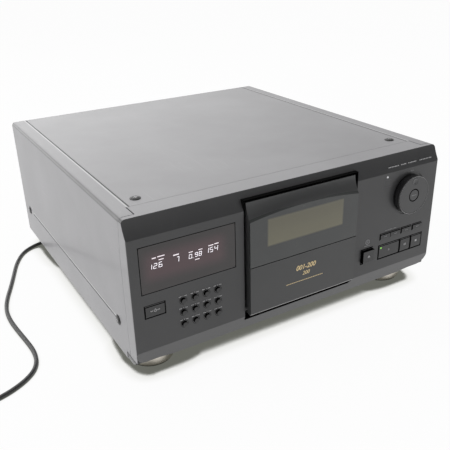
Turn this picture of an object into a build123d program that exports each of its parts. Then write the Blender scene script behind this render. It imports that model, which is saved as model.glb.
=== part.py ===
"""Carousel disc changer: a cabinet with a drop-down front door, a slotted turntable and a hub player.

Frame: X to the right of someone facing the front, Y towards the back, Z up. The origin lies on the
surface that the feet stand on, under the middle of the whole cabinet.
"""

import math
import os

from build123d import *

# ---------------------------------------------------------------- driving dimensions (mm)
CABINET_WIDTH = 430.0
BODY_DEPTH = 443.0          # face of the front panel to the back edge of the cover
CABINET_TOP = 196.0
DIAL_PROUD = 9.0
JACK_PROUD = 9.0            # phono jacks beyond the back edge of the cover
FOOT_HEIGHT = 20.0
FOOT_RADIUS = 28.0
FOOT_INSET = 36.3           # middle of a foot from the cabinet's side
FOOT_SETBACK = 52.0         # front feet behind the panel's face
REAR_FOOT_SETBACK = 71.0    # rear feet in front of the back edge
PAD_RADIUS = 25.5
PAD_HEIGHT = 1.2
FOOT_RIM = 1.2              # tapered lower rim of a foot

SHEET = 1.2                 # folded steel of the chassis
COVER_SHEET = 1.0
PANEL_WALL = 2.5
SCREW_SHANK = 1.5
SCREW_LENGTH = 6.0
SCREW_HEAD = 5.2            # the wide heads on the top and the sides
REAR_SCREW_HEAD = 3.6
TOP_SCREW_INSET = 35.4
TOP_SCREW_SETBACK = 53.8
SIDE_SCREW_FRONT = 47.0
SIDE_SCREW_REAR = 28.0
SIDE_SCREW_Z = 62.0
BACK_SCREW_X = 150.0
BACK_SCREW_DROP = 6.5
GROOVE_INSET = 21.0         # stamped lines along the top
GROOVE_WIDTH = 1.8
GROOVE_DEPTH = 0.45
SIDE_GROOVE_FRONT = 64.0
SIDE_GROOVE_REAR = 48.0
COVER_CORNER = 5.0          # rounding along the top edges of cover and panel
SCREW_HOLE = 1.6
FIT_GAP = 0.4               # seam between the moulded front and the cover
KEY_GAP = 0.25              # round every key cap
RUN_GAP = 0.3               # between sliding faces
SHAFT_GAP = 0.06            # radial clearance of turning shafts

# front panel outline, measured back from its face
BAND_TOP_BACK = 9.0
BAND_Z = 176.0
CHAMFER_Z = 43.5
CHAMFER_BACK = 7.0
PANEL_BOTTOM = 24.0
PANEL_END_BOTTOM = 26.0
PANEL_STEP_IN = 28.0        # raised ends of the bottom edge
PANEL_STEP_RUN = 17.0
PANEL_END_ROUND = 13.0      # lower corners, seen from the front
TOP_FLANGE_BACK = 36.0
SIDE_RETURN_BACK = 20.0
TAB_BACK = 15.6             # where the cover's two front corners reach
TAB_WIDTH = 17.5
BOTTOM_RETURN_BACK = 30.0
BOTTOM_RETURN_TOP = 30.5

# display window
LENS_INSET = 67.8           # middle of the window from the left side
LENS_Z = 139.1
LENS_WIDTH = 111.5
LENS_HEIGHT = 52.8
LENS_CORNER = 2.5
LENS_THICK = 2.0
LENS_LEDGE = 2.5

# door
CONTROL_FIELD = 135.0       # face to each side of the door opening
OPENING_BOTTOM = 40.0
OPENING_TOP = 188.0
DOOR_SIDE_GAP = 3.7
DOOR_BOTTOM = 46.5
DOOR_TOP = 184.5
DOOR_PROUD = 7.0
DOOR_WALL = 2.6
DOOR_BACK = 5.0
SCOOP_SIDE_Z = 163.7
SCOOP_MIDDLE_Z = 170.0
SCOOP_BACK = 1.3
PLATE_BOTTOM = 108.5
PLATE_THICK = 2.0
PORT_INSET = 23.0           # from the door's side to the clear port
PORT_LOW = 130.0
PORT_HIGH = 162.5
PIVOT_BACK = 3.0
PIVOT_Z = 53.0
PIN_RADIUS = 2.5
PIN_LENGTH = 6.5

# controls
DIAL_INSET = 47.5           # middle of the dial from the right side
DIAL_Z = 141.5
DIAL_RADIUS = 25.5
MOAT_RADIUS = 28.0
MOAT_DEPTH = 1.2
DIAL_SLEEVE = 9.9
PUSH_RADIUS = 7.2
PUSH_RECESS = 1.0
DIMPLE_RADIUS = 4.6
DIMPLE_OUT = 18.0
DIMPLE_DEPTH = 1.0
ROUND_KEY_INSET = 57.8      # first column from the left side
ROUND_KEY_PITCH_X = 14.15
ROUND_KEY_PITCH_Z = 14.6
ROUND_KEY_TOP_Z = 91.5
ROUND_KEY_COLUMNS = 4
ROUND_KEY_ROWS = 3
ROUND_KEY_RADIUS = 3.1
ROUND_KEY_PROUD = 2.6
KEY_FLANGE = 1.2            # collar behind the panel that keeps a key in
KEY_TRAVEL = 0.8
STEM_RADIUS = 1.4
BOARD_BACK = 9.0            # front of the two control boards, behind the face
BOARD_THICK = 1.6
BOARD_HALF_WIDTH = 61.0
BOARD_INSET = 68.0          # middle of each board from its side
BOARD_LOW = 48.0
BOARD_HIGH = 172.0
SWITCH_HEIGHT = 3.0
SWITCH_RADIUS = 1.8
LAMP_INSET = 87.0
LAMP_Z = 171.0
LAMP_RADIUS = 1.3

# name: middle from the nearer side of the cabinet (minus from the left), middle z, width, height, proud
BAR_KEYS = {
    "power_key": (-24.8, 91.3, 22.0, 11.4, 0.9),
    "mode_key_1": (82.55, 90.2, 16.5, 6.2, 1.2),
    "mode_key_2": (65.1, 90.2, 17.2, 6.2, 1.2),
    "mode_key_3": (45.7, 90.2, 17.0, 6.2, 1.2),
    "mode_key_4": (26.2, 90.2, 16.4, 6.2, 1.2),
    "play_key": (74.2, 69.2, 34.6, 15.6, 0.7),
    "pause_key": (45.7, 69.2, 16.8, 15.6, 0.7),
    "stop_key": (25.7, 69.2, 17.6, 15.6, 0.7),
    "open_key": (111.6, 70.4, 18.4, 16.4, 4.0),
}
BAR_KEY_ROUND = 0.4
COLLAR_OVER = 1.2           # how far a key's collar reaches past its cap
PLAY_LAMP_INSET = 88.6
PLAY_LAMP_Z = 74.9
PLAY_LAMP_RADIUS = 1.3

# turntable
TABLE_SETBACK = 235.0       # axis behind the panel's face
GEAR_MODULE = 3.5
TABLE_SIDE_ROOM = 19.0      # from the pitch circle out to the cabinet's side
TABLE_REAR_ROOM = 12.0      # and to its back
TABLE_FRONT_ROOM = 39.0     # and to its face
DRIVE_TEETH = 14
DRIVE_BEARING = 45.0        # degrees, from +X towards +Y
TABLE_Z = 30.0
TABLE_GEAR_WIDTH = 4.0
TABLE_PLATE = 2.5
TABLE_BORE = 62.0
DISC_SLOTS = 200
SLOT_WIDTH = 1.6
COMB_INSET = 8.0            # of the outer comb from the pitch circle
OUTER_COMB_THICK = 12.0
OUTER_COMB_HEIGHT = 12.0
INNER_COMB_IN = 66.0
INNER_COMB_OUT = 74.0
INNER_COMB_HEIGHT = 26.0
INNER_SLOT_WIDTH = 1.0
GLIDE_COUNT = 8
GLIDE_INSET = 46.0          # of the glides from the outer comb
GLIDE_RADIUS = 5.0

# player in the hub
DISC_CENTRE_Z = 104.0
PLATE_X = 16.0              # front of the upright player plate, to the right of the disc
PLATE_THICKNESS = 2.0
SPINDLE_RADIUS = 1.5
HUB_DISC_RADIUS = 14.0
HUB_DISC_THICK = 3.0
SLED_TRAVEL = 30.0
ROD_RADIUS = 1.5
ROD_HALF_GAP = 16.0
CLAMP_RADIUS = 13.0

# door damper
DAMPER_MODULE = 1.0
SECTOR_TEETH = 32
DAMPER_TEETH = 10
DAMPER_AXLE = 1.5
DOOR_TEETH_SWUNG = 7
SECTOR_INSET = 7.3
SECTOR_WIDTH = 3.0
DAMPER_BEARING = 60.0       # degrees above straight back from the door's pivot

# mains lead
CORD_DIAMETER = 5.0
COIL_ACROSS = 55.0
COIL_X = -398.0
COIL_Y = -133.0
COIL_HEIGHT = 15.0
COIL_WIDTH = 12.0
BUSH_X = -120.0
BUSH_Z = 45.0
BUSH_NECK = 5.9
PLUG_BACK = 38.0            # plug behind the middle of the coil
PLUG_Z = 8.0
RELIEF_LENGTH = 14.0

# jacks at the back
PHONO_INSET = 30.0          # from the right side
PHONO_ROWS = (75.0, 95.0)
PHONO_BODY = 6.0
PHONO_RADIUS = 4.15
PHONO_BORE = 1.7
PHONO_DEPTH = 10.0
MINI_INSET = 65.0
MINI_BODY = 5.0
MINI_BORE = 1.8
MINI_DEPTH = 12.0
LINK_INSET = 100.0

# ---------------------------------------------------------------- places that follow from them
HALF = CABINET_WIDTH / 2
OPENING_HALF = HALF - CONTROL_FIELD
DOOR_HALF = OPENING_HALF - DOOR_SIDE_GAP
PORT_HALF = DOOR_HALF - PORT_INSET
SECTOR_X = DOOR_HALF - SECTOR_INSET
FACE_Y = -(BODY_DEPTH + DIAL_PROUD + JACK_PROUD) / 2 + DIAL_PROUD
BACK_Y = FACE_Y + BODY_DEPTH
LENS_X = LENS_INSET - HALF
DIAL_X = HALF - DIAL_INSET
LAMP_X = HALF - LAMP_INSET
PLAY_LAMP_X = HALF - PLAY_LAMP_INSET
BOARD_X = HALF - BOARD_INSET
FLOOR_Z = FOOT_HEIGHT
FLOOR_TOP = FLOOR_Z + SHEET
COVER_BOTTOM = FLOOR_Z + SHEET
COVER_INNER = HALF - COVER_SHEET
COVER_UNDER = CABINET_TOP - COVER_SHEET
REAR_PANEL_FACE = BACK_Y - COVER_SHEET
TABLE_Y = FACE_Y + TABLE_SETBACK
TABLE_ROOM = min(HALF - TABLE_SIDE_ROOM, TABLE_SETBACK - TABLE_FRONT_ROOM,
                 BODY_DEPTH - TABLE_SETBACK - TABLE_REAR_ROOM)
TABLE_TEETH = int(2 * TABLE_ROOM / GEAR_MODULE)
TABLE_RADIUS = GEAR_MODULE * TABLE_TEETH / 2
OUTER_COMB_OUT = TABLE_RADIUS - COMB_INSET
OUTER_COMB_IN = OUTER_COMB_OUT - OUTER_COMB_THICK
GLIDE_RING = OUTER_COMB_IN - GLIDE_INSET
DRIVE_RADIUS = GEAR_MODULE * DRIVE_TEETH / 2
DRIVE_DISTANCE = TABLE_RADIUS + DRIVE_RADIUS
DRIVE_X = DRIVE_DISTANCE * math.cos(math.radians(DRIVE_BEARING))
DRIVE_Y = TABLE_Y + DRIVE_DISTANCE * math.sin(math.radians(DRIVE_BEARING))
JACK_TIP = BACK_Y + JACK_PROUD
BOARD_REAR = REAR_PANEL_FACE - SHEET - 10
MAIN_BOARD_X = HALF - 83.0
PHONO_SPOTS = [(HALF - PHONO_INSET, z) for z in PHONO_ROWS]
MINI_SPOTS = [(HALF - MINI_INSET, z) for z in PHONO_ROWS]
LINK_SPOT = (HALF - LINK_INSET, sum(PHONO_ROWS) / 2)
PLATE_Z = TABLE_Z + TABLE_GEAR_WIDTH
PLATE_TOP = PLATE_Z + TABLE_PLATE
PIVOT_Y = FACE_Y + PIVOT_BACK
BOARD_Y = FACE_Y + BOARD_BACK
SWITCH_TIP = BOARD_Y - SWITCH_HEIGHT
STEM_END = SWITCH_TIP - KEY_TRAVEL - 0.1
FLANGE_Y = FACE_Y + PANEL_WALL + RUN_GAP
SCREW_TOP = [(side * (HALF - TOP_SCREW_INSET), FACE_Y + TOP_SCREW_SETBACK) for side in (-1, 1)]
SIDE_SCREW_Y = (FACE_Y + SIDE_SCREW_FRONT, BACK_Y - SIDE_SCREW_REAR)
BACK_SCREWS = [(x, CABINET_TOP - BACK_SCREW_DROP) for x in (-BACK_SCREW_X, 0, BACK_SCREW_X)]
FEET = [(side * (HALF - FOOT_INSET), y) for side in (-1, 1)
        for y in (FACE_Y + FOOT_SETBACK, BACK_Y - REAR_FOOT_SETBACK)]
KEY_SPOTS = [(ROUND_KEY_INSET - HALF + column * ROUND_KEY_PITCH_X, ROUND_KEY_TOP_Z - row * ROUND_KEY_PITCH_Z)
             for row in range(ROUND_KEY_ROWS) for column in range(ROUND_KEY_COLUMNS)]
BAR_SPOTS = {name: (HALF - key[0] if key[0] > 0 else -HALF - key[0], key[1]) for name, key in BAR_KEYS.items()}

os.makedirs("parts", exist_ok=True)


def keep(part, label):
    """Label a finished piece and write it out."""
    part.label = label
    export_step(part, f"parts/{label}.step")


def facing(y):
    """A sketch plane at depth y, seen from the front: local x is X and local y is Z."""
    return Plane.XZ.offset(-y)


def across(x):
    """A sketch plane across the cabinet at x: local x is Y and local y is Z."""
    return Plane.YZ.offset(x)


def gear_sketch(module, teeth, first=0, count=None, rim=0.0):
    """Outline of a spur gear, or of the sector of it that holds count teeth from tooth number first."""
    count = teeth if count is None else count
    pitch = 360 / teeth
    tip = module * (teeth / 2 + 0.95)
    root = module * (teeth / 2 - 1.25)
    with BuildSketch(Plane.XY) as gear:
        if count == teeth:
            Circle(root)
        else:
            with BuildLine():
                start = (first - 0.5) * pitch
                Line((0, 0), (root * math.cos(math.radians(start)), root * math.sin(math.radians(start))))
                RadiusArc(
                    (root * math.cos(math.radians(start)), root * math.sin(math.radians(start))),
                    (root * math.cos(math.radians(start + count * pitch)),
                     root * math.sin(math.radians(start + count * pitch))),
                    -root,
                )
                Line((root * math.cos(math.radians(start + count * pitch)),
                      root * math.sin(math.radians(start + count * pitch))), (0, 0))
            make_face()
            Circle(rim)
        for tooth in range(first, first + count):
            middle = math.radians(tooth * pitch)
            corners = []
            for radius, share in ((root - 0.3 * module, -0.27), (tip, -0.11), (tip, 0.11),
                                  (root - 0.3 * module, 0.27)):
                angle = middle + math.radians(share * pitch)
                corners.append((radius * math.cos(angle), radius * math.sin(angle)))
            with BuildLine():
                Polyline(*corners, close=True)
            make_face()
    return gear.sketch


# ---------------------------------------------------------------- feet
with BuildPart() as feet:
    with BuildSketch(Plane.XZ):
        with BuildLine():
            Polyline(
                (0, PAD_HEIGHT), (PAD_RADIUS + 0.5, PAD_HEIGHT), (FOOT_RADIUS - 0.8, PAD_HEIGHT + FOOT_RIM),
                (FOOT_RADIUS - 0.8, PAD_HEIGHT + FOOT_RIM + 1.2), (FOOT_RADIUS, PAD_HEIGHT + FOOT_RIM + 2.0),
                (FOOT_RADIUS, FOOT_HEIGHT), (0, FOOT_HEIGHT), close=True,
            )
        make_face()
    revolve(axis=Axis.Z)
keep(Compound([Pos(x, y, 0) * feet.part for x, y in FEET]), "feet")

with BuildPart() as foot_pads:
    with Locations(*[(x, y, 0) for x, y in FEET]):
        Cylinder(PAD_RADIUS, PAD_HEIGHT, align=(Align.CENTER, Align.CENTER, Align.MIN))
keep(foot_pads.part, "foot_pads")

# ---------------------------------------------------------------- chassis
WALL_X = COVER_INNER
CHASSIS_FRONT = FACE_Y + BOTTOM_RETURN_BACK + FIT_GAP
CHASSIS_BACK = REAR_PANEL_FACE - SHEET
SIDE_WALL_TOP = SIDE_SCREW_Z + 10.0
REAR_WALL_TOP = FLOOR_TOP + 14.0

with BuildPart() as base_chassis:
    depth = CHASSIS_BACK - CHASSIS_FRONT
    middle = (CHASSIS_BACK + CHASSIS_FRONT) / 2
    with BuildSketch(Plane.XY.offset(FLOOR_Z)):
        with Locations((0, middle)):
            Rectangle(2 * WALL_X, depth)
    extrude(amount=SIDE_WALL_TOP - FLOOR_Z)
    with BuildSketch(Plane.XY.offset(FLOOR_TOP)):
        with Locations((0, middle)):
            Rectangle(2 * (WALL_X - SHEET), depth - 2 * SHEET)
    extrude(amount=SIDE_WALL_TOP, mode=Mode.SUBTRACT)
    with BuildSketch(facing(CHASSIS_FRONT - 1)):
        with Locations((0, REAR_WALL_TOP)):
            Rectangle(2 * (WALL_X - SHEET), SIDE_WALL_TOP, align=(Align.CENTER, Align.MIN))
    extrude(amount=-(depth + 2), mode=Mode.SUBTRACT)
    for y in SIDE_SCREW_Y:
        with BuildSketch(across(-WALL_X - 1)):
            with Locations((y, SIDE_SCREW_Z)):
                Circle(SCREW_HOLE)
        extrude(amount=2 * WALL_X + 2, mode=Mode.SUBTRACT)
    vents = [(x, TABLE_Y + y) for x in (-150, -135, -120, 120, 135, 150) for y in (-150, -125)]
    with BuildSketch(Plane.XY.offset(FLOOR_Z)):
        with Locations(*vents):
            SlotOverall(16, 4, rotation=90)
    extrude(amount=SHEET, mode=Mode.SUBTRACT)
keep(base_chassis.part, "base_chassis")

# ---------------------------------------------------------------- cover
with BuildPart() as top_cover:
    cover_front = FACE_Y + TAB_BACK + FIT_GAP
    with BuildSketch(facing(cover_front)):
        with Locations((0, COVER_BOTTOM)):
            Rectangle(CABINET_WIDTH, CABINET_TOP - COVER_BOTTOM, align=(Align.CENTER, Align.MIN))
    extrude(amount=-(BACK_Y - cover_front))
    fillet(top_cover.edges().filter_by(Axis.Y).group_by(Axis.Z)[-1], COVER_CORNER)
    with BuildSketch(facing(cover_front - 1)):
        with BuildLine():
            FilletPolyline(
                (-COVER_INNER, 0), (-COVER_INNER, COVER_UNDER), (COVER_INNER, COVER_UNDER),
                (COVER_INNER, 0), radius=COVER_CORNER - COVER_SHEET,
            )
            Line((COVER_INNER, 0), (-COVER_INNER, 0))
        make_face()
    extrude(amount=-(BACK_Y - cover_front - COVER_SHEET + 1), mode=Mode.SUBTRACT)
    with BuildSketch(facing(BACK_Y - 2 * COVER_SHEET)):
        with Locations((0, 0)):
            Rectangle(2 * COVER_INNER, COVER_UNDER - 12, align=(Align.CENTER, Align.MIN))
    extrude(amount=-4 * COVER_SHEET, mode=Mode.SUBTRACT)
    # front edge: back to the panel's flange between the two corner tabs
    with BuildSketch(Plane.XY.offset(COVER_UNDER - 4)):
        with Locations((0, cover_front - 1)):
            Rectangle(2 * (HALF - TAB_WIDTH + FIT_GAP), TOP_FLANGE_BACK - TAB_BACK + 1,
                      align=(Align.CENTER, Align.MIN))
    extrude(amount=10, mode=Mode.SUBTRACT)
    # front edge of the two sides: leans back below the tabs and clears the bottom return
    with BuildSketch(across(-HALF - 1)):
        with BuildLine():
            Polyline(
                (cover_front - 1, 186), (cover_front, 186),
                (FACE_Y + SIDE_RETURN_BACK + FIT_GAP, 150),
                (FACE_Y + SIDE_RETURN_BACK + FIT_GAP, BOTTOM_RETURN_TOP + FIT_GAP),
                (CHASSIS_FRONT, BOTTOM_RETURN_TOP + FIT_GAP),
                (CHASSIS_FRONT, 0), (cover_front - 1, 0), close=True,
            )
        make_face()
    extrude(amount=CABINET_WIDTH + 2, mode=Mode.SUBTRACT)
    # stamped grooves
    top_groove = (FACE_Y + TOP_FLANGE_BACK + 2 * GROOVE_WIDTH, BACK_Y - 3 * GROOVE_WIDTH)
    side_groove = (FACE_Y + SIDE_GROOVE_FRONT, BACK_Y - SIDE_GROOVE_REAR)
    with BuildSketch(Plane.XY.offset(CABINET_TOP - GROOVE_DEPTH)):
        with Locations(*[(side * (HALF - GROOVE_INSET), sum(top_groove) / 2) for side in (-1, 1)]):
            SlotOverall(top_groove[1] - top_groove[0], GROOVE_WIDTH, rotation=90)
    extrude(amount=1, mode=Mode.SUBTRACT)
    for side in (-1, 1):
        with BuildSketch(across(side * (HALF - GROOVE_DEPTH))):
            with Locations((sum(side_groove) / 2, SIDE_SCREW_Z)):
                SlotOverall(side_groove[1] - side_groove[0], GROOVE_WIDTH)
        extrude(amount=side, mode=Mode.SUBTRACT)
    with BuildSketch(Plane.XY.offset(COVER_UNDER - 1)):
        with Locations(*SCREW_TOP):
            Circle(SCREW_HOLE)
    extrude(amount=3, mode=Mode.SUBTRACT)
    for y in SIDE_SCREW_Y:
        with BuildSketch(across(-HALF - 1)):
            with Locations((y, SIDE_SCREW_Z)):
                Circle(SCREW_HOLE)
        extrude(amount=CABINET_WIDTH + 2, mode=Mode.SUBTRACT)
    with BuildSketch(facing(BACK_Y + 1)):
        with Locations(*BACK_SCREWS):
            Circle(SCREW_HOLE)
    extrude(amount=3, mode=Mode.SUBTRACT)
keep(top_cover.part, "top_cover")

# ---------------------------------------------------------------- front frame
FRAME_Y = FACE_Y + SIDE_RETURN_BACK
FRAME_TOP = CABINET_TOP - PANEL_WALL
FRAME_OPENING_HALF = OPENING_HALF + 6.0
FRAME_LOW = BOTTOM_RETURN_TOP + 2.0
FRAME_HALF = WALL_X - SHEET
with BuildPart() as front_frame:
    joggle = FACE_Y + TOP_FLANGE_BACK + FIT_GAP
    with BuildSketch(across(-FRAME_HALF)):
        with BuildLine():
            Polyline(
                (FRAME_Y, FRAME_LOW), (FRAME_Y, FRAME_TOP), (joggle, FRAME_TOP),
                (joggle, COVER_UNDER), (FACE_Y + 68, COVER_UNDER), (FACE_Y + 68, COVER_UNDER - SHEET),
                (joggle + SHEET, COVER_UNDER - SHEET), (joggle + SHEET, FRAME_TOP - SHEET),
                (FRAME_Y + SHEET, FRAME_TOP - SHEET), (FRAME_Y + SHEET, FRAME_LOW), close=True,
            )
        make_face()
    extrude(amount=2 * FRAME_HALF)
    # side flanges, screwed to the chassis walls
    for side in (-1, 1):
        with BuildSketch(across(side * FRAME_HALF)):
            with Locations((FRAME_Y, FRAME_LOW + 5)):
                Rectangle(SIDE_SCREW_Y[0] + 8 - FRAME_Y, SIDE_SCREW_Z - FRAME_LOW + 3,
                          align=(Align.MIN, Align.MIN))
        extrude(amount=-side * SHEET)
        with BuildSketch(across(side * FRAME_HALF)):
            with Locations((SIDE_SCREW_Y[0], SIDE_SCREW_Z)):
                Circle(SCREW_HOLE)
        extrude(amount=-side * SHEET, mode=Mode.SUBTRACT)
    with BuildSketch(facing(FRAME_Y - 1)):
        with Locations((0, OPENING_BOTTOM - 6)):
            Rectangle(2 * FRAME_OPENING_HALF, OPENING_TOP - OPENING_BOTTOM + 9,
                      align=(Align.CENTER, Align.MIN))
        with Locations((-BOARD_X, 80), (BOARD_X, 80)):
            SlotOverall(40, 12)
    extrude(amount=-(SHEET + 2), mode=Mode.SUBTRACT)
    with BuildSketch(facing(FRAME_Y - 1)):
        with Locations((-FRAME_HALF, FRAME_TOP - 8), (FRAME_HALF, FRAME_TOP - 8)):
            Rectangle(2 * COVER_CORNER + 2, 40, align=(Align.CENTER, Align.MIN))
    extrude(amount=-60, mode=Mode.SUBTRACT)
    with BuildSketch(Plane.XY.offset(COVER_UNDER - 3)):
        with Locations(*SCREW_TOP):
            Circle(SCREW_HOLE)
    extrude(amount=6, mode=Mode.SUBTRACT)
keep(front_frame.part, "front_frame")

# ---------------------------------------------------------------- screws
WASHER_OVER = 0.9           # how far a screw's washer face reaches past its head
WASHER_THICK = 0.4
HEAD_HEIGHT = 1.2
CROSS_WIDTH = 1.1


def screw(head):
    """Low cross-head screw with the underside of its washer face on the plane z = 0."""
    with BuildPart() as blank:
        Cylinder(head + WASHER_OVER, WASHER_THICK, align=(Align.CENTER, Align.CENTER, Align.MIN))
        with BuildSketch(Plane.XY.offset(WASHER_THICK)):
            Circle(head)
        extrude(amount=HEAD_HEIGHT)
        chamfer(blank.edges().group_by(Axis.Z)[-1], 0.7 * HEAD_HEIGHT, 1.6 * HEAD_HEIGHT)
        with BuildSketch(Plane.XY.offset(WASHER_THICK + HEAD_HEIGHT)):
            Rectangle(head, CROSS_WIDTH)
            Rectangle(CROSS_WIDTH, head)
        extrude(amount=-HEAD_HEIGHT, mode=Mode.SUBTRACT)
        with BuildSketch(Plane.XY):
            Circle(SCREW_SHANK)
        extrude(amount=-SCREW_LENGTH)
    return blank.part


cover_screw, rear_screw = screw(SCREW_HEAD), screw(REAR_SCREW_HEAD)
screws = [Pos(x, y, CABINET_TOP) * cover_screw for x, y in SCREW_TOP]
for y in SIDE_SCREW_Y:
    screws.append(Pos(HALF, y, SIDE_SCREW_Z) * Rot(0, 90, 0) * cover_screw)
    screws.append(Pos(-HALF, y, SIDE_SCREW_Z) * Rot(0, -90, 0) * cover_screw)
for x, z in BACK_SCREWS:
    screws.append(Pos(x, BACK_Y, z) * Rot(-90, 0, 0) * rear_screw)
keep(Compound(screws), "cover_screws")

# ---------------------------------------------------------------- front panel
POSTS = [(side * (BOARD_X + dx), z) for side in (-1, 1) for dx in (-56, 56) for z in (BOARD_LOW + 4, BOARD_HIGH - 4)]

with BuildPart() as panel_outside:
    with BuildSketch(across(-HALF)):
        with BuildLine():
            ThreePointArc(
                (FACE_Y, BAND_Z), (FACE_Y + BAND_TOP_BACK * 0.6, (BAND_Z + CABINET_TOP) / 2),
                (FACE_Y + BAND_TOP_BACK, CABINET_TOP),
            )
            Polyline(
                (FACE_Y + BAND_TOP_BACK, CABINET_TOP), (FACE_Y + TOP_FLANGE_BACK, CABINET_TOP),
                (FACE_Y + TOP_FLANGE_BACK, PANEL_BOTTOM), (FACE_Y + CHAMFER_BACK, PANEL_BOTTOM),
                (FACE_Y, CHAMFER_Z), (FACE_Y, BAND_Z),
            )
        make_face()
    extrude(amount=CABINET_WIDTH)

with BuildPart() as front_panel:
    add(panel_outside.part)
    ends = front_panel.edges().filter_by(Axis.Z).filter_by_position(Axis.Y, FACE_Y - 1, FACE_Y + 1)
    fillet(ends, 1.8)
    fillet(front_panel.edges().filter_by(Axis.Y).group_by(Axis.Z)[-1], COVER_CORNER)
    wall = PANEL_WALL
    with BuildSketch(across(-HALF + wall)):
        with BuildLine():
            Polyline(
                (FACE_Y + wall, CHAMFER_Z), (FACE_Y + wall, BAND_Z - 1),
                (FACE_Y + BAND_TOP_BACK + wall * 0.6, CABINET_TOP - wall),
                (FACE_Y + 60, CABINET_TOP - wall), (FACE_Y + 60, PANEL_BOTTOM + wall),
                (FACE_Y + CHAMFER_BACK + wall * 0.6, PANEL_BOTTOM + wall), close=True,
            )
        make_face()
    extrude(amount=CABINET_WIDTH - 2 * wall, mode=Mode.SUBTRACT)
    # the cover's corner tabs and the side seams
    for side in (-1, 1):
        with BuildSketch(across(side * (HALF - TAB_WIDTH))):
            with BuildLine():
                Polyline(
                    (FACE_Y + TAB_BACK, CABINET_TOP + 1), (FACE_Y + TAB_BACK, 186),
                    (FACE_Y + SIDE_RETURN_BACK, 150), (FACE_Y + SIDE_RETURN_BACK, BOTTOM_RETURN_TOP),
                    (FACE_Y + 60, BOTTOM_RETURN_TOP), (FACE_Y + 60, CABINET_TOP + 1), close=True,
                )
            make_face()
        extrude(amount=side * (TAB_WIDTH + 1), mode=Mode.SUBTRACT)
    with BuildSketch(across(-HALF - 1)):
        with Locations((FACE_Y + BOTTOM_RETURN_BACK, 0)):
            Rectangle(40, CABINET_TOP - PANEL_WALL - 6, align=(Align.MIN, Align.MIN))
    extrude(amount=CABINET_WIDTH + 2, mode=Mode.SUBTRACT)
    # raised ends of the bottom edge
    for side in (-1, 1):
        with BuildSketch(facing(FACE_Y - 1)):
            with BuildLine():
                RadiusArc(
                    (side * HALF, PANEL_END_BOTTOM + PANEL_END_ROUND),
                    (side * (HALF - PANEL_END_ROUND), PANEL_END_BOTTOM), side * PANEL_END_ROUND,
                )
                Polyline(
                    (side * (HALF - PANEL_END_ROUND), PANEL_END_BOTTOM),
                    (side * (HALF - PANEL_STEP_IN), PANEL_END_BOTTOM),
                    (side * (HALF - PANEL_STEP_IN - PANEL_STEP_RUN), PANEL_BOTTOM - 0.01),
                    (side * (HALF + 1), PANEL_BOTTOM - 0.01),
                    (side * (HALF + 1), PANEL_END_BOTTOM + PANEL_END_ROUND),
                    (side * HALF, PANEL_END_BOTTOM + PANEL_END_ROUND),
                )
            make_face()
        extrude(amount=-60, mode=Mode.SUBTRACT)
    # floor of the raised ends, and the walls round the door opening
    with BuildSketch(facing(FACE_Y + wall)):
        with Locations((0, OPENING_BOTTOM - wall)):
            Rectangle(2 * (OPENING_HALF + wall), OPENING_TOP - OPENING_BOTTOM + 2 * wall,
                      align=(Align.CENTER, Align.MIN))
    extrude(amount=-(SIDE_RETURN_BACK - wall - 0.4))
    add(panel_outside.part, mode=Mode.INTERSECT)
    for side in (-1, 1):
        with Locations((side * (HALF - PANEL_STEP_IN / 2), FACE_Y + 18, PANEL_END_BOTTOM + wall / 2)):
            Box(PANEL_STEP_IN - 1, 22, wall)
    with BuildSketch(facing(FACE_Y - 1)):
        with Locations((0, OPENING_BOTTOM)):
            Rectangle(2 * OPENING_HALF, OPENING_TOP - OPENING_BOTTOM, align=(Align.CENTER, Align.MIN))
    extrude(amount=-40, mode=Mode.SUBTRACT)
    # sockets of the door's pins
    with BuildSketch(across(-OPENING_HALF - 10)):
        with Locations((PIVOT_Y, PIVOT_Z)):
            Circle(PIN_RADIUS + SHAFT_GAP)
    extrude(amount=2 * OPENING_HALF + 20, mode=Mode.SUBTRACT)
    # display window, with the ledge that carries its lens
    with BuildSketch(facing(FACE_Y - 1)):
        with Locations((LENS_X, LENS_Z)):
            RectangleRounded(LENS_WIDTH - 2 * LENS_LEDGE, LENS_HEIGHT - 2 * LENS_LEDGE, LENS_CORNER)
    extrude(amount=-(wall + 2), mode=Mode.SUBTRACT)
    with BuildSketch(facing(FACE_Y)):
        with Locations((LENS_X, LENS_Z)):
            RectangleRounded(LENS_WIDTH + 0.5, LENS_HEIGHT + 0.5, LENS_CORNER)
    extrude(amount=-LENS_THICK, mode=Mode.SUBTRACT)
    # key holes
    with BuildSketch(facing(FACE_Y - 1)):
        with Locations(*KEY_SPOTS):
            Circle(ROUND_KEY_RADIUS + KEY_GAP)
        for name, (inset, z, width, height, proud) in BAR_KEYS.items():
            with Locations(BAR_SPOTS[name]):
                Rectangle(width + 2 * KEY_GAP, height + 2 * KEY_GAP)
        with Locations((DIAL_X, DIAL_Z)):
            Circle(DIAL_SLEEVE + SHAFT_GAP)
        with Locations((LAMP_X, LAMP_Z)):
            Circle(LAMP_RADIUS)
    extrude(amount=-(wall + 2), mode=Mode.SUBTRACT)
    with BuildSketch(facing(FACE_Y)):
        with Locations((DIAL_X, DIAL_Z)):
            Circle(MOAT_RADIUS)
    extrude(amount=-MOAT_DEPTH, mode=Mode.SUBTRACT)
    # posts of the control boards
    with BuildSketch(facing(FACE_Y + wall)):
        with Locations(*POSTS):
            Circle(2.6)
    extrude(amount=-(BOARD_BACK - wall))
keep(front_panel.part, "front_panel")

with BuildPart() as display_lens:
    with BuildSketch(facing(FACE_Y)):
        with Locations((LENS_X, LENS_Z)):
            RectangleRounded(LENS_WIDTH, LENS_HEIGHT, LENS_CORNER)
    extrude(amount=-LENS_THICK)
keep(display_lens.part, "display_lens")

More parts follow.
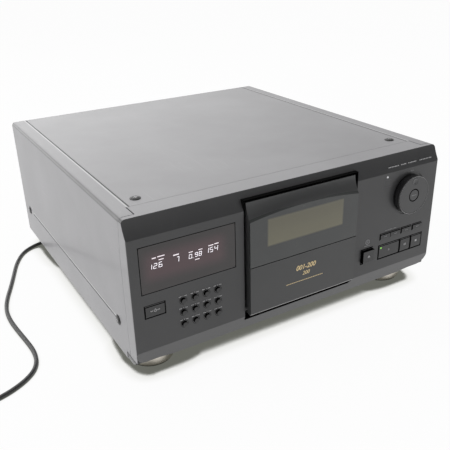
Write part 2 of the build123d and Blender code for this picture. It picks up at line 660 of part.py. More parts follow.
VFD_FRONT = FACE_Y + PANEL_WALL + 1.0
with BuildPart() as display_tube:
    with BuildSketch(facing(VFD_FRONT)):
        with Locations((LENS_X, LENS_Z)):
            Rectangle(LENS_WIDTH - 8, LENS_HEIGHT - 8)
    extrude(amount=-(BOARD_Y - VFD_FRONT))
    chamfer(display_tube.edges().group_by(Axis.Y)[0], 0.8)
keep(display_tube.part, "display_tube")

# ---------------------------------------------------------------- control boards with their switches
with BuildPart() as control_boards:
    with BuildSketch(facing(BOARD_Y)):
        with Locations((-BOARD_X, (BOARD_LOW + BOARD_HIGH) / 2), (BOARD_X, (BOARD_LOW + BOARD_HIGH) / 2)):
            Rectangle(2 * BOARD_HALF_WIDTH, BOARD_HIGH - BOARD_LOW)
    extrude(amount=-BOARD_THICK)
    with BuildSketch(facing(BOARD_Y)):
        with Locations(*KEY_SPOTS, *BAR_SPOTS.values(), (DIAL_X, DIAL_Z)):
            Circle(SWITCH_RADIUS)
    extrude(amount=SWITCH_HEIGHT)
    with BuildSketch(facing(BOARD_Y)):
        with Locations((DIAL_X, DIAL_Z)):
            Circle(DIAL_SLEEVE + 2)
            Circle(PUSH_RADIUS + 1, mode=Mode.SUBTRACT)
    extrude(amount=SWITCH_HEIGHT - 0.6)
    with BuildSketch(facing(BOARD_Y)):
        with Locations((LAMP_X, LAMP_Z)):
            Circle(LAMP_RADIUS + 0.4)
    extrude(amount=BOARD_BACK - PANEL_WALL - RUN_GAP)
keep(control_boards.part, "control_boards")

with BuildPart() as status_lamp:
    with BuildSketch(facing(FACE_Y - 0.3)):
        with Locations((LAMP_X, LAMP_Z)):
            Circle(LAMP_RADIUS - 0.05)
    extrude(amount=-(PANEL_WALL + RUN_GAP + 0.3))
keep(status_lamp.part, "status_lamp")

# ---------------------------------------------------------------- keys
for number, (x, z) in enumerate(KEY_SPOTS, start=1):
    with BuildPart() as round_key:
        with BuildSketch(facing(FLANGE_Y)):
            with Locations((x, z)):
                Circle(ROUND_KEY_RADIUS)
        extrude(amount=FLANGE_Y - FACE_Y + ROUND_KEY_PROUD)
        fillet(round_key.edges().group_by(Axis.Y)[0], 0.6)
        with BuildSketch(facing(FLANGE_Y)):
            with Locations((x, z)):
                Circle(ROUND_KEY_RADIUS + COLLAR_OVER)
        extrude(amount=-KEY_FLANGE)
        with BuildSketch(facing(FLANGE_Y + KEY_FLANGE)):
            with Locations((x, z)):
                Circle(STEM_RADIUS)
        extrude(amount=-(STEM_END - FLANGE_Y - KEY_FLANGE))
    keep(round_key.part, f"key_{number:02d}")

for name, (inset, z, width, height, proud) in BAR_KEYS.items():
    x = BAR_SPOTS[name][0]
    with BuildPart() as bar_key:
        with BuildSketch(facing(FLANGE_Y)):
            with Locations((x, z)):
                Rectangle(width, height)
        extrude(amount=FLANGE_Y - FACE_Y + proud)
        fillet(bar_key.edges().group_by(Axis.Y)[0], BAR_KEY_ROUND)
        with BuildSketch(facing(FLANGE_Y)):
            with Locations((x, z)):
                Rectangle(width, height + 2 * COLLAR_OVER)
        extrude(amount=-KEY_FLANGE)
        with BuildSketch(facing(FLANGE_Y + KEY_FLANGE)):
            with Locations((x, z)):
                Circle(STEM_RADIUS)
        extrude(amount=-(STEM_END - FLANGE_Y - KEY_FLANGE))
        if name == "play_key":
            with BuildSketch(facing(FACE_Y - proud)):
                with Locations((PLAY_LAMP_X, PLAY_LAMP_Z)):
                    Circle(PLAY_LAMP_RADIUS)
            extrude(amount=-1.2, mode=Mode.SUBTRACT)
    keep(bar_key.part, name)

with BuildPart() as play_lamp:
    with BuildSketch(facing(FACE_Y - BAR_KEYS["play_key"][4] - 0.2)):
        with Locations((PLAY_LAMP_X, PLAY_LAMP_Z)):
            Circle(PLAY_LAMP_RADIUS)
    extrude(amount=-1.4)
keep(play_lamp.part, "play_lamp")

# ---------------------------------------------------------------- dial and its centre push
DIAL_FRONT = FACE_Y - DIAL_PROUD
with BuildPart() as jog_dial:
    with BuildSketch(facing(FACE_Y + MOAT_DEPTH - RUN_GAP)):
        with Locations((DIAL_X, DIAL_Z)):
            Circle(DIAL_RADIUS)
    extrude(amount=MOAT_DEPTH - RUN_GAP + DIAL_PROUD)
    chamfer(jog_dial.edges().group_by(Axis.Y)[0], 0.9)
    with BuildSketch(facing(FACE_Y + MOAT_DEPTH - RUN_GAP)):
        with Locations((DIAL_X, DIAL_Z)):
            Circle(DIAL_SLEEVE)
    extrude(amount=-(BOARD_Y - SWITCH_HEIGHT - FACE_Y - MOAT_DEPTH))
    with BuildSketch(facing(DIAL_FRONT - 1)):
        with Locations((DIAL_X, DIAL_Z)):
            Circle(PUSH_RADIUS + SHAFT_GAP)
    extrude(amount=-40, mode=Mode.SUBTRACT)
    with BuildSketch(facing(DIAL_FRONT)):
        with Locations((DIAL_X, DIAL_Z)):
            Circle(8.6)
    extrude(amount=-PUSH_RECESS, mode=Mode.SUBTRACT)
    with Locations((DIAL_X, DIAL_FRONT - DIMPLE_RADIUS * 1.6 + DIMPLE_DEPTH, DIAL_Z + DIMPLE_OUT)):
        Sphere(DIMPLE_RADIUS * 1.6, mode=Mode.SUBTRACT)
keep(jog_dial.part, "jog_dial")

with BuildPart() as jog_push:
    with BuildSketch(facing(SWITCH_TIP - KEY_TRAVEL - 0.1)):
        with Locations((DIAL_X, DIAL_Z)):
            Circle(PUSH_RADIUS)
    extrude(amount=SWITCH_TIP - KEY_TRAVEL - 0.1 - DIAL_FRONT)
    fillet(jog_push.edges().group_by(Axis.Y)[0], 0.5)
keep(jog_push.part, "jog_push")

# ---------------------------------------------------------------- door
DOOR_FACE = FACE_Y - DOOR_PROUD
DOOR_REAR = FACE_Y + DOOR_BACK
RIM = 6.0


def scoop_section(x, low):
    """Outline of the hollow above the window plate, at x; low is where it leaves the plate."""
    with BuildSketch(across(x)) as section:
        with BuildLine():
            ThreePointArc(
                (DOOR_FACE, low),
                (FACE_Y - DOOR_PROUD + (DOOR_PROUD + SCOOP_BACK) * 0.66, low + (DOOR_TOP - low) * 0.45),
                (FACE_Y + SCOOP_BACK, DOOR_TOP),
            )
            Polyline((FACE_Y + SCOOP_BACK, DOOR_TOP), (FACE_Y + SCOOP_BACK, DOOR_TOP + 4),
                     (DOOR_FACE - 4, DOOR_TOP + 4), (DOOR_FACE - 4, low), (DOOR_FACE, low))
        make_face()
    return section.sketch


with BuildPart() as scoop:
    edge = DOOR_HALF + 1
    for x, low in ((-edge, SCOOP_SIDE_Z), (0, SCOOP_MIDDLE_Z), (edge, SCOOP_SIDE_Z)):
        add(scoop_section(x, low))
    loft()

with BuildPart() as door_plate_blank:
    with BuildSketch(facing(DOOR_FACE)):
        with Locations((0, PLATE_BOTTOM)):
            Rectangle(2 * DOOR_HALF, DOOR_TOP - PLATE_BOTTOM, align=(Align.CENTER, Align.MIN))
    extrude(amount=-PLATE_THICK)
    add(scoop.part, mode=Mode.SUBTRACT)
    with BuildSketch(facing(DOOR_FACE - 1)):
        with Locations((0, SCOOP_MIDDLE_Z + 0.5)):
            Rectangle(4 * DOOR_HALF, 40, align=(Align.CENTER, Align.MIN))
    extrude(amount=-10, mode=Mode.SUBTRACT)

with BuildPart() as door:
    with BuildSketch(across(-DOOR_HALF)):
        with BuildLine():
            Polyline(
                (DOOR_FACE + 1.6, DOOR_BOTTOM), (DOOR_FACE, DOOR_BOTTOM + 2.0), (DOOR_FACE, DOOR_TOP),
                (DOOR_REAR, DOOR_TOP), (DOOR_REAR, DOOR_BOTTOM), close=True,
            )
        make_face()
    extrude(amount=2 * DOOR_HALF)
    add(scoop.part, mode=Mode.SUBTRACT)
    add(door_plate_blank.part, mode=Mode.SUBTRACT)
    with BuildSketch(facing(DOOR_FACE + PLATE_THICK + DOOR_WALL)):
        with Locations((0, DOOR_BOTTOM + 12)):
            Rectangle(2 * (DOOR_HALF - RIM), SCOOP_SIDE_Z - DOOR_BOTTOM - 14, align=(Align.CENTER, Align.MIN))
    extrude(amount=-20, mode=Mode.SUBTRACT)
    with BuildSketch(facing(DOOR_FACE - 1)):
        with Locations((0, PORT_LOW)):
            Rectangle(2 * PORT_HALF, PORT_HIGH - PORT_LOW, align=(Align.CENTER, Align.MIN))
    extrude(amount=-30, mode=Mode.SUBTRACT)
    # pins on both sides
    for side in (-1, 1):
        with BuildSketch(across(side * (DOOR_HALF - 1))):
            with Locations((PIVOT_Y, PIVOT_Z)):
                Circle(PIN_RADIUS)
        extrude(amount=side * (PIN_LENGTH + 1))
    # lower right corner is cut off for the fingers
    with BuildSketch(facing(DOOR_FACE - 1)):
        with BuildLine():
            Polyline((DOOR_HALF + 1, DOOR_BOTTOM - 1), (DOOR_HALF + 1, DOOR_BOTTOM + 3),
                     (DOOR_HALF - 4, DOOR_BOTTOM - 1), close=True)
        make_face()
    extrude(amount=-6, mode=Mode.SUBTRACT)

SECTOR_SPARE = 2            # teeth beyond those that roll past the damper, at each end
sector = gear_sketch(DAMPER_MODULE, SECTOR_TEETH, first=-SECTOR_SPARE,
                     count=DOOR_TEETH_SWUNG + 1 + 2 * SECTOR_SPARE, rim=4.5)
SECTOR_TURN = DAMPER_BEARING - 360 / SECTOR_TEETH * DOOR_TEETH_SWUNG
with BuildPart() as door_sector:
    with BuildSketch(across(SECTOR_X)):
        with Locations(Location((PIVOT_Y, PIVOT_Z), SECTOR_TURN)):
            add(sector)
    extrude(amount=SECTOR_WIDTH)
keep(door.part + door_sector.part, "door")

keep(door_plate_blank.part, "door_window")

# ---------------------------------------------------------------- damper gear beside the door's foot
DAMPER_DISTANCE = DAMPER_MODULE * (SECTOR_TEETH + DAMPER_TEETH) / 2 + 0.1
DAMPER_Y = PIVOT_Y + DAMPER_DISTANCE * math.cos(math.radians(DAMPER_BEARING))
DAMPER_Z = PIVOT_Z + DAMPER_DISTANCE * math.sin(math.radians(DAMPER_BEARING))
pinion = gear_sketch(DAMPER_MODULE, DAMPER_TEETH)
with BuildPart() as damper_gear:
    with BuildSketch(across(SECTOR_X)):
        with Locations(Location((DAMPER_Y, DAMPER_Z), DAMPER_BEARING + 180 + 180 / DAMPER_TEETH)):
            add(pinion)
        with Locations((DAMPER_Y, DAMPER_Z)):
            Circle(DAMPER_AXLE + SHAFT_GAP, mode=Mode.SUBTRACT)
    extrude(amount=SECTOR_WIDTH)
keep(damper_gear.part, "damper_gear")

HOUSING_X = SECTOR_X + SECTOR_WIDTH + RUN_GAP
HOUSING_WIDTH = 4.0
FRAME_REAR = FRAME_Y + SHEET
with BuildPart() as damper_housing:
    with BuildSketch(across(HOUSING_X)):
        with Locations((DAMPER_Y, DAMPER_Z)):
            Circle(6.5)
            Rectangle(FRAME_REAR + 2 - DAMPER_Y, 10, align=(Align.MIN, Align.CENTER))
    extrude(amount=HOUSING_WIDTH)
    with BuildSketch(across(HOUSING_X)):
        with Locations((DAMPER_Y, DAMPER_Z)):
            Circle(DAMPER_AXLE)
    extrude(amount=-(SECTOR_WIDTH + RUN_GAP + 1))
    with BuildSketch(facing(FRAME_REAR)):
        with Locations((HOUSING_X, DAMPER_Z)):
            Rectangle(FRAME_OPENING_HALF + 12 - HOUSING_X, 10, align=(Align.MIN, Align.CENTER))
    extrude(amount=-2)
keep(damper_housing.part, "damper_housing")

# ---------------------------------------------------------------- turntable
table_outline = gear_sketch(GEAR_MODULE, TABLE_TEETH)
with BuildPart() as carousel_table:
    with BuildSketch(Plane.XY.offset(TABLE_Z)):
        with Locations(Location((0, TABLE_Y), DRIVE_BEARING)):
            add(table_outline)
        with Locations((0, TABLE_Y)):
            Circle(OUTER_COMB_IN - 6, mode=Mode.SUBTRACT)
    extrude(amount=TABLE_GEAR_WIDTH)
    with BuildSketch(Plane.XY.offset(PLATE_Z)):
        with Locations((0, TABLE_Y)):
            Circle(OUTER_COMB_OUT + 3)
            Circle(TABLE_BORE, mode=Mode.SUBTRACT)
    extrude(amount=TABLE_PLATE)
keep(carousel_table.part, "carousel_table")

with BuildPart() as disc_comb:
    with BuildSketch(Plane.XY.offset(PLATE_TOP)):
        with Locations((0, TABLE_Y)):
            Circle(OUTER_COMB_OUT)
            Circle(OUTER_COMB_IN, mode=Mode.SUBTRACT)
            with PolarLocations(OUTER_COMB_IN + 4, DISC_SLOTS):
                Rectangle(14, SLOT_WIDTH, mode=Mode.SUBTRACT)
    extrude(amount=OUTER_COMB_HEIGHT)
    with BuildSketch(Plane.XY.offset(PLATE_TOP)):
        with Locations((0, TABLE_Y)):
            Circle(INNER_COMB_OUT)
            Circle(INNER_COMB_IN, mode=Mode.SUBTRACT)
            with PolarLocations(INNER_COMB_OUT, DISC_SLOTS):
                Rectangle(12, INNER_SLOT_WIDTH, mode=Mode.SUBTRACT)
    extrude(amount=INNER_COMB_HEIGHT)
keep(disc_comb.part, "disc_comb")

drive_outline = gear_sketch(GEAR_MODULE, DRIVE_TEETH)
with BuildPart() as drive_gear:
    with BuildSketch(Plane.XY.offset(TABLE_Z)):
        with Locations(Location((DRIVE_X, DRIVE_Y), DRIVE_BEARING + 180 + 180 / DRIVE_TEETH)):
            add(drive_outline)
    extrude(amount=TABLE_GEAR_WIDTH)
    with BuildSketch(Plane.XY.offset(TABLE_Z + TABLE_GEAR_WIDTH)):
        with Locations((DRIVE_X, DRIVE_Y)):
            Circle(3)
    extrude(amount=6)
    with BuildSketch(Plane.XY.offset(FLOOR_TOP + 2 * RUN_GAP)):
        with Locations((DRIVE_X, DRIVE_Y)):
            Circle(3)
    extrude(amount=TABLE_Z - FLOOR_TOP - 2 * RUN_GAP)
keep(drive_gear.part, "drive_gear")

MOTOR_LOW = TABLE_Z + TABLE_GEAR_WIDTH + 4
with BuildPart() as table_motor:
    with BuildSketch(Plane.XY.offset(MOTOR_LOW)):
        with Locations((DRIVE_X, DRIVE_Y)):
            Circle(13)
            Circle(3 + SHAFT_GAP, mode=Mode.SUBTRACT)
    extrude(amount=2.2)
    with BuildSketch(Plane.XY.offset(MOTOR_LOW + 2.2)):
        with Locations((DRIVE_X, DRIVE_Y)):
            Circle(13)
    extrude(amount=28)
    fillet(table_motor.edges().group_by(Axis.Z)[-1], 2)
    # bracket down to the chassis, outside the gear
    with Locations((DRIVE_X + 21, DRIVE_Y, MOTOR_LOW)):
        Box(20, 20, 1.6, align=(Align.CENTER, Align.CENTER, Align.MIN))
    with Locations((DRIVE_X + DRIVE_RADIUS + GEAR_MODULE + 3.5, DRIVE_Y, FLOOR_TOP)):
        Box(2, 20, MOTOR_LOW + 1.6 - FLOOR_TOP, align=(Align.CENTER, Align.CENTER, Align.MIN))
    with Locations((DRIVE_X, DRIVE_Y, MOTOR_LOW + 2.2 + 0.3)):
        Cylinder(3.4, 4.4, align=(Align.CENTER, Align.CENTER, Align.MIN), mode=Mode.SUBTRACT)
keep(table_motor.part, "table_motor")

with BuildPart() as table_glides:
    with BuildSketch(Plane.XY.offset(FLOOR_TOP)):
        with Locations((0, TABLE_Y)):
            with PolarLocations(GLIDE_RING, GLIDE_COUNT):
                Circle(GLIDE_RADIUS)
    extrude(amount=PLATE_Z - RUN_GAP - FLOOR_TOP)
    fillet(table_glides.edges().group_by(Axis.Z)[-1], 1.5)
keep(table_glides.part, "table_glides")

# ---------------------------------------------------------------- player in the hub
SPINDLE_X0 = 2.0
CHEEK = 3.0                 # the two cheeks that carry the guide rods
SLED_LENGTH = 6.0
SLED_Y = TABLE_Y + 15
ROD_START = SLED_Y - RUN_GAP - CHEEK - 2
ROD_END = SLED_Y + SLED_LENGTH + SLED_TRAVEL + RUN_GAP + CHEEK + 2
ROD_SPOTS = [(PLATE_X - 4, DISC_CENTRE_Z + side * ROD_HALF_GAP) for side in (-1, 1)]
LEVER_PIN = 2.0
LEVER_PIVOT_Y = TABLE_Y - 30
LEVER_PIVOT_Z = PLATE_TOP + 6
with BuildPart() as player_frame:
    with BuildSketch(Plane.XY.offset(FLOOR_TOP)):
        with Locations((0, TABLE_Y)):
            Circle(TABLE_BORE - SHAFT_GAP)
            Circle(TABLE_BORE - 8, mode=Mode.SUBTRACT)
            Rectangle(2 * TABLE_BORE - 8, 24)
    extrude(amount=PLATE_TOP - FLOOR_TOP - 1)
    with BuildSketch(across(PLATE_X)):
        with Locations((TABLE_Y, PLATE_TOP - 2)):
            Rectangle(110, 118, align=(Align.CENTER, Align.MIN))
        with Locations((TABLE_Y + 33, DISC_CENTRE_Z)):
            RectangleRounded(34, 24, 3, mode=Mode.SUBTRACT)
        with Locations((TABLE_Y, DISC_CENTRE_Z)):
            Circle(SPINDLE_RADIUS + SHAFT_GAP, mode=Mode.SUBTRACT)
        with Locations((LEVER_PIVOT_Y, LEVER_PIVOT_Z)):
            Circle(LEVER_PIN + SHAFT_GAP, mode=Mode.SUBTRACT)
    extrude(amount=PLATE_THICKNESS)
    # cheeks that carry the rods
    for y, side in ((ROD_START + 2, Align.MIN), (ROD_END - 2, Align.MAX)):
        with Locations((PLATE_X, y, DISC_CENTRE_Z)):
            Box(7, CHEEK, 2 * ROD_HALF_GAP + 10, align=(Align.MAX, side, Align.CENTER))
    with BuildSketch(facing(ROD_START)):
        with Locations(*ROD_SPOTS):
            Circle(ROD_RADIUS)
    extrude(amount=-(ROD_END - ROD_START), mode=Mode.SUBTRACT)
    # bridge to the clamp side
    with Locations((0, TABLE_Y + 50, PLATE_TOP + 100)):
        Box(PLATE_X + 20, 6, 12, align=(Align.CENTER, Align.CENTER, Align.CENTER))
    with Locations((-18, TABLE_Y + 50, PLATE_TOP + 100)):
        Box(8, 10, 12)
    with BuildSketch(Plane.XY.offset(PLATE_TOP + 90)):
        with Locations((-18, TABLE_Y + 50)):
            Circle(1.5 + SHAFT_GAP)
    extrude(amount=20, mode=Mode.SUBTRACT)
keep(player_frame.part, "player_frame")

with BuildPart() as guide_rods:
    with BuildSketch(facing(ROD_START)):
        with Locations(*ROD_SPOTS):
            Circle(ROD_RADIUS)
    extrude(amount=-(ROD_END - ROD_START))
keep(guide_rods.part, "guide_rods")

with BuildPart() as disc_spindle:
    with BuildSketch(across(SPINDLE_X0)):
        with Locations((TABLE_Y, DISC_CENTRE_Z)):
            Circle(HUB_DISC_RADIUS)
    extrude(amount=HUB_DISC_THICK)
    chamfer(disc_spindle.edges().group_by(Axis.X)[0], 0.5)
    with BuildSketch(across(SPINDLE_X0)):
        with Locations((TABLE_Y, DISC_CENTRE_Z)):
            Circle(7.3)
    extrude(amount=-2.0, taper=20)
    with BuildSketch(across(SPINDLE_X0 + HUB_DISC_THICK)):
        with Locations((TABLE_Y, DISC_CENTRE_Z)):
            Circle(SPINDLE_RADIUS)
    extrude(amount=PLATE_X + PLATE_THICKNESS - SPINDLE_X0 - HUB_DISC_THICK + 1)
keep(disc_spindle.part, "disc_spindle")

with BuildPart() as spindle_motor:
    with BuildSketch(across(PLATE_X + PLATE_THICKNESS)):
        with Locations((TABLE_Y, DISC_CENTRE_Z)):
            Circle(12)
    extrude(amount=16)
    fillet(spindle_motor.edges().group_by(Axis.X)[-1], 1.5)
    with BuildSketch(across(PLATE_X + PLATE_THICKNESS)):
        with Locations((TABLE_Y, DISC_CENTRE_Z)):
            Circle(SPINDLE_RADIUS + 0.5)
    extrude(amount=2, mode=Mode.SUBTRACT)
keep(spindle_motor.part, "spindle_motor")

with BuildPart() as pickup_sled:
    with Locations((PLATE_X - 4, SLED_Y, DISC_CENTRE_Z)):
        Box(6, SLED_LENGTH, 2 * ROD_HALF_GAP + 7, align=(Align.CENTER, Align.MIN, Align.CENTER))
    with Locations((PLATE_X - 7, SLED_Y, DISC_CENTRE_Z)):
        Box(3, SLED_LENGTH, 14, align=(Align.MAX, Align.MIN, Align.CENTER))
    with BuildSketch(across(PLATE_X - 10)):
        with Locations((SLED_Y + SLED_LENGTH / 2, DISC_CENTRE_Z)):
            Circle(2.2)
    extrude(amount=-1.5)
    with BuildSketch(facing(SLED_Y - 1)):
        with Locations(*ROD_SPOTS):
            Circle(ROD_RADIUS + SHAFT_GAP)
    extrude(amount=-(SLED_LENGTH + 2), mode=Mode.SUBTRACT)
keep(pickup_sled.part, "pickup_sled")

CLAMP_PIVOT_X = -18.0
CLAMP_PIVOT_Y = TABLE_Y + 50
with BuildPart() as clamp_arm:
    with BuildSketch(Plane.XY.offset(PLATE_TOP + 96 - 20)):
        with Locations((CLAMP_PIVOT_X, CLAMP_PIVOT_Y)):
            Circle(3.5)
    extrude(amount=16 + 1 - RUN_GAP)
    with BuildSketch(Plane.XY.offset(PLATE_TOP + 96 - 20)):
        with Locations((CLAMP_PIVOT_X, CLAMP_PIVOT_Y)):
            Circle(1.5)
    extrude(amount=31)
    with BuildSketch(across(CLAMP_PIVOT_X - 1)):
        with BuildLine():
            Polyline(
                (CLAMP_PIVOT_Y, PLATE_TOP + 76), (CLAMP_PIVOT_Y, PLATE_TOP + 92),
                (TABLE_Y + 4, DISC_CENTRE_Z + 10), (TABLE_Y - 6, DISC_CENTRE_Z + 4),
                (TABLE_Y - 6, DISC_CENTRE_Z - 4), (TABLE_Y + 4, DISC_CENTRE_Z - 10), close=True,
            )
        make_face()
    extrude(amount=2)
    with BuildSketch(across(CLAMP_PIVOT_X)):
        with Locations((TABLE_Y, DISC_CENTRE_Z)):
            Circle(3)
    extrude(amount=15)
    with BuildSketch(across(-3.2)):
        with Locations((TABLE_Y, DISC_CENTRE_Z)):
            Circle(CLAMP_RADIUS)
    extrude(amount=3.0)
    with BuildSketch(across(-0.2)):
        with Locations((TABLE_Y, DISC_CENTRE_Z)):
            Circle(8)
    extrude(amount=-2.5, mode=Mode.SUBTRACT)
keep(clamp_arm.part, "clamp_arm")

with BuildPart() as loading_lever:
    with BuildSketch(across(PLATE_X - RUN_GAP)):
        with BuildLine():
            Polyline(
                (LEVER_PIVOT_Y - 4, LEVER_PIVOT_Z - 4), (LEVER_PIVOT_Y + 5, LEVER_PIVOT_Z - 4),
                (LEVER_PIVOT_Y + 4, LEVER_PIVOT_Z + 30), (LEVER_PIVOT_Y - 14, LEVER_PIVOT_Z + 58),
                (LEVER_PIVOT_Y - 18, LEVER_PIVOT_Z + 55), (LEVER_PIVOT_Y - 5, LEVER_PIVOT_Z + 28),
                close=True,
            )
        make_face()
    extrude(amount=-2)
    with BuildSketch(across(PLATE_X - RUN_GAP - 2)):
        with Locations((LEVER_PIVOT_Y - 14.5, LEVER_PIVOT_Z + 54)):
            Circle(2)
    extrude(amount=-15)
    with BuildSketch(across(PLATE_X - RUN_GAP)):
        with Locations((LEVER_PIVOT_Y, LEVER_PIVOT_Z)):
            Circle(LEVER_PIN)
    extrude(amount=PLATE_THICKNESS + RUN_GAP)
keep(loading_lever.part, "loading_lever")

# ---------------------------------------------------------------- back of the set
with BuildPart() as rear_panel:
    with BuildSketch(facing(REAR_PANEL_FACE)):
        with Locations((0, FLOOR_TOP)):
            Rectangle(2 * COVER_INNER, COVER_UNDER - FLOOR_TOP, align=(Align.CENTER, Align.MIN))
    extrude(amount=SHEET)
    upper = rear_panel.edges().filter_by(Axis.Y).group_by(Axis.Z)[-1]
    fillet(upper, COVER_CORNER - COVER_SHEET)
    with BuildSketch(facing(REAR_PANEL_FACE + 1)):
        with Locations(*BACK_SCREWS):
            Circle(SCREW_HOLE)
        with Locations((BUSH_X, BUSH_Z)):
            Circle(BUSH_NECK + SHAFT_GAP)
        with Locations(*PHONO_SPOTS):
            Circle(PHONO_BODY + RUN_GAP)
        with Locations(*MINI_SPOTS, LINK_SPOT):
            Circle(MINI_BODY + RUN_GAP)
        with Locations(*[(x, z) for x in range(-170, -60, 10) for z in (150, 140)]):
            SlotOverall(8, 3, rotation=90)
    extrude(amount=SHEET + 4, mode=Mode.SUBTRACT)
keep(rear_panel.part, "rear_panel")

with BuildPart() as rear_jacks:
    with BuildSketch(facing(BOARD_REAR)):
        with Locations(*PHONO_SPOTS):
            Circle(PHONO_BODY)
        with Locations(*MINI_SPOTS, LINK_SPOT):
            Circle(MINI_BODY)
    extrude(amount=-(REAR_PANEL_FACE - BOARD_REAR + 0.8))
    with BuildSketch(facing(REAR_PANEL_FACE + 0.8)):
        with Locations(*PHONO_SPOTS):
            Circle(PHONO_RADIUS)
    extrude(amount=-(JACK_TIP - REAR_PANEL_FACE - 0.8))
    with BuildSketch(facing(JACK_TIP)):
        with Locations(*PHONO_SPOTS):
            Circle(PHONO_BORE)
    extrude(amount=PHONO_DEPTH, mode=Mode.SUBTRACT)
    with BuildSketch(facing(REAR_PANEL_FACE + 0.8)):
        with Locations(*MINI_SPOTS):
            Circle(MINI_BORE)
    extrude(amount=MINI_DEPTH, mode=Mode.SUBTRACT)
keep(rear_jacks.part, "rear_jacks")

with BuildPart() as main_board:
    with BuildSketch(facing(BOARD_REAR)):
        with Locations((MAIN_BOARD_X, 105)):
            Rectangle(144, 116)
    extrude(amount=BOARD_THICK)
    with BuildSketch(facing(BOARD_REAR - BOARD_THICK)):
        with Locations((MAIN_BOARD_X - 12, 130), (MAIN_BOARD_X + 38, 135)):
            Rectangle(22, 22)
        with Locations((MAIN_BOARD_X - 42, 80), (MAIN_BOARD_X - 28, 80), (MAIN_BOARD_X - 14, 72)):
            Circle(4)
    extrude(amount=3)
    # feet of the board on the chassis
    for x in (MAIN_BOARD_X - 57, MAIN_BOARD_X + 58):
        with Locations((x, BOARD_REAR - BOARD_THICK, FLOOR_TOP)):
            Box(8, BOARD_THICK, 47 - FLOOR_TOP, align=(Align.CENTER, Align.MIN, Align.MIN))
keep(main_board.part, "main_board")

TRANSFORMER_X = 33.0 - HALF
TRANSFORMER_Y = BACK_Y - 34.0
with BuildPart() as transformer:
    with Locations((TRANSFORMER_X, TRANSFORMER_Y, FLOOR_TOP)):
        Box(50, 44, 2, align=(Align.CENTER, Align.CENTER, Align.MIN))
        Box(50, 26, 44, align=(Align.CENTER, Align.CENTER, Align.MIN))
    with Locations((TRANSFORMER_X, TRANSFORMER_Y, FLOOR_TOP + 22)):
        Box(26, 42, 30)
keep(transformer.part, "transformer")

# ---------------------------------------------------------------- mains lead
with BuildPart() as cord_bush:
    with BuildSketch(facing(REAR_PANEL_FACE - SHEET - 3)):
        with Locations((BUSH_X, BUSH_Z)):
            Circle(BUSH_NECK)
    extrude(amount=-(SHEET + 3))
    with BuildSketch(facing(REAR_PANEL_FACE)):
        with Locations((BUSH_X, BUSH_Z)):
            Circle(7.5)
    extrude(amount=-2)
    with BuildSketch(facing(REAR_PANEL_FACE + 2)):
        with Locations((BUSH_X, BUSH_Z)):
            Circle(4.6)
    extrude(amount=-(JACK_TIP - REAR_PANEL_FACE - 2), taper=8)
keep(cord_bush.part, "cord_bush")

LIE = CORD_DIAMETER / 2
CORD_POINTS = [
    (BUSH_X, JACK_TIP, BUSH_Z), (BUSH_X, 252, BUSH_Z), (-122, 276, 34), (-128, 296, 14), (-142, 311, LIE),
    (-162, 310, LIE), (-176, 294, LIE), (-179, 268, LIE), (-174, 238, LIE), (-181, 212, LIE),
    (-199, 196, LIE),
    (-221, 190, LIE), (-242, 174, LIE), (-259, 143, LIE), (-272, 106, LIE), (-283, 76, LIE),
    (-295, 46, LIE), (-302.5, 19, LIE), (-304, -9, LIE), (-301.5, -38, LIE), (-298, -66, LIE),
    (-295.5, -92, LIE), (-297.5, -113, LIE), (-304, -129, LIE), (-314, -140, LIE), (-327, -149, LIE),
    (-344, -156.5, LIE), (-366, -160, LIE), (-398, -160.5, LIE),
]


def corner_radii(points):
    """Radius of each corner's arc, from its two runs and its turn."""
    vectors = [Vector(*b) - Vector(*a) for a, b in zip(points, points[1:])]
    radii = []
    for one, two in zip(vectors, vectors[1:]):
        turn = math.radians(one.get_angle(two))
        radii.append(0.45 * min(one.length, two.length) / math.tan(turn / 2))
    return radii


radii = corner_radii(CORD_POINTS)
print("cord radii", [round(r, 1) for r in radii])
with BuildPart() as power_cord:
    with BuildLine() as route:
        FilletPolyline(*CORD_POINTS, radius=radii)
    with BuildSketch(Plane(origin=route.line @ 0, z_dir=route.line % 0)):
        Circle(CORD_DIAMETER / 2)
    sweep()
tube_length = route.wires()[0].length
print("cord tube", round(tube_length, 1), "volume ratio",
      round(power_cord.part.volume / (math.pi * LIE ** 2 * tube_length), 4))

COIL_INNER = (COIL_ACROSS - COIL_WIDTH) / 2
COIL_OUTER = (COIL_ACROSS + COIL_WIDTH) / 2
with BuildPart() as cord_coil:
    with BuildSketch(Plane.XY):
        with Locations((COIL_X, COIL_Y)):
            Circle(COIL_OUTER)
            Circle(COIL_INNER, mode=Mode.SUBTRACT)
    extrude(amount=COIL_HEIGHT)
    fillet(cord_coil.edges(), 2.0)
keep(cord_coil.part, "cord_coil")

# a short tail runs from the coil to the plug, which lies beside it
PLUG_X = COIL_X - COIL_ACROSS / 2
PLUG_Y = COIL_Y + PLUG_BACK
with BuildPart() as cord_tail:
    with BuildSketch(facing(COIL_Y)):
        with Locations((PLUG_X, PLUG_Z)):
            Circle(LIE)
    extrude(amount=-(PLUG_Y - COIL_Y))
keep(Compound([power_cord.part.solids()[0], cord_tail.part.solids()[0]]), "power_cord")

BLADE_Y = PLUG_Y + RELIEF_LENGTH + 18
with BuildPart() as plug_body:
    with BuildSketch(facing(PLUG_Y)):
        with Locations((PLUG_X, PLUG_Z)):
            RectangleRounded(9, 8, 3.5)
    with BuildSketch(facing(PLUG_Y + RELIEF_LENGTH)):
        with Locations((PLUG_X, PLUG_Z)):
            RectangleRounded(15, 11, 4)
    loft()
    with BuildSketch(facing(PLUG_Y + RELIEF_LENGTH)):
        with Locations((PLUG_X, PLUG_Z)):
            RectangleRounded(22, 15.6, 4)
    extrude(amount=-(BLADE_Y - PLUG_Y - RELIEF_LENGTH))
keep(plug_body.part, "plug_body")

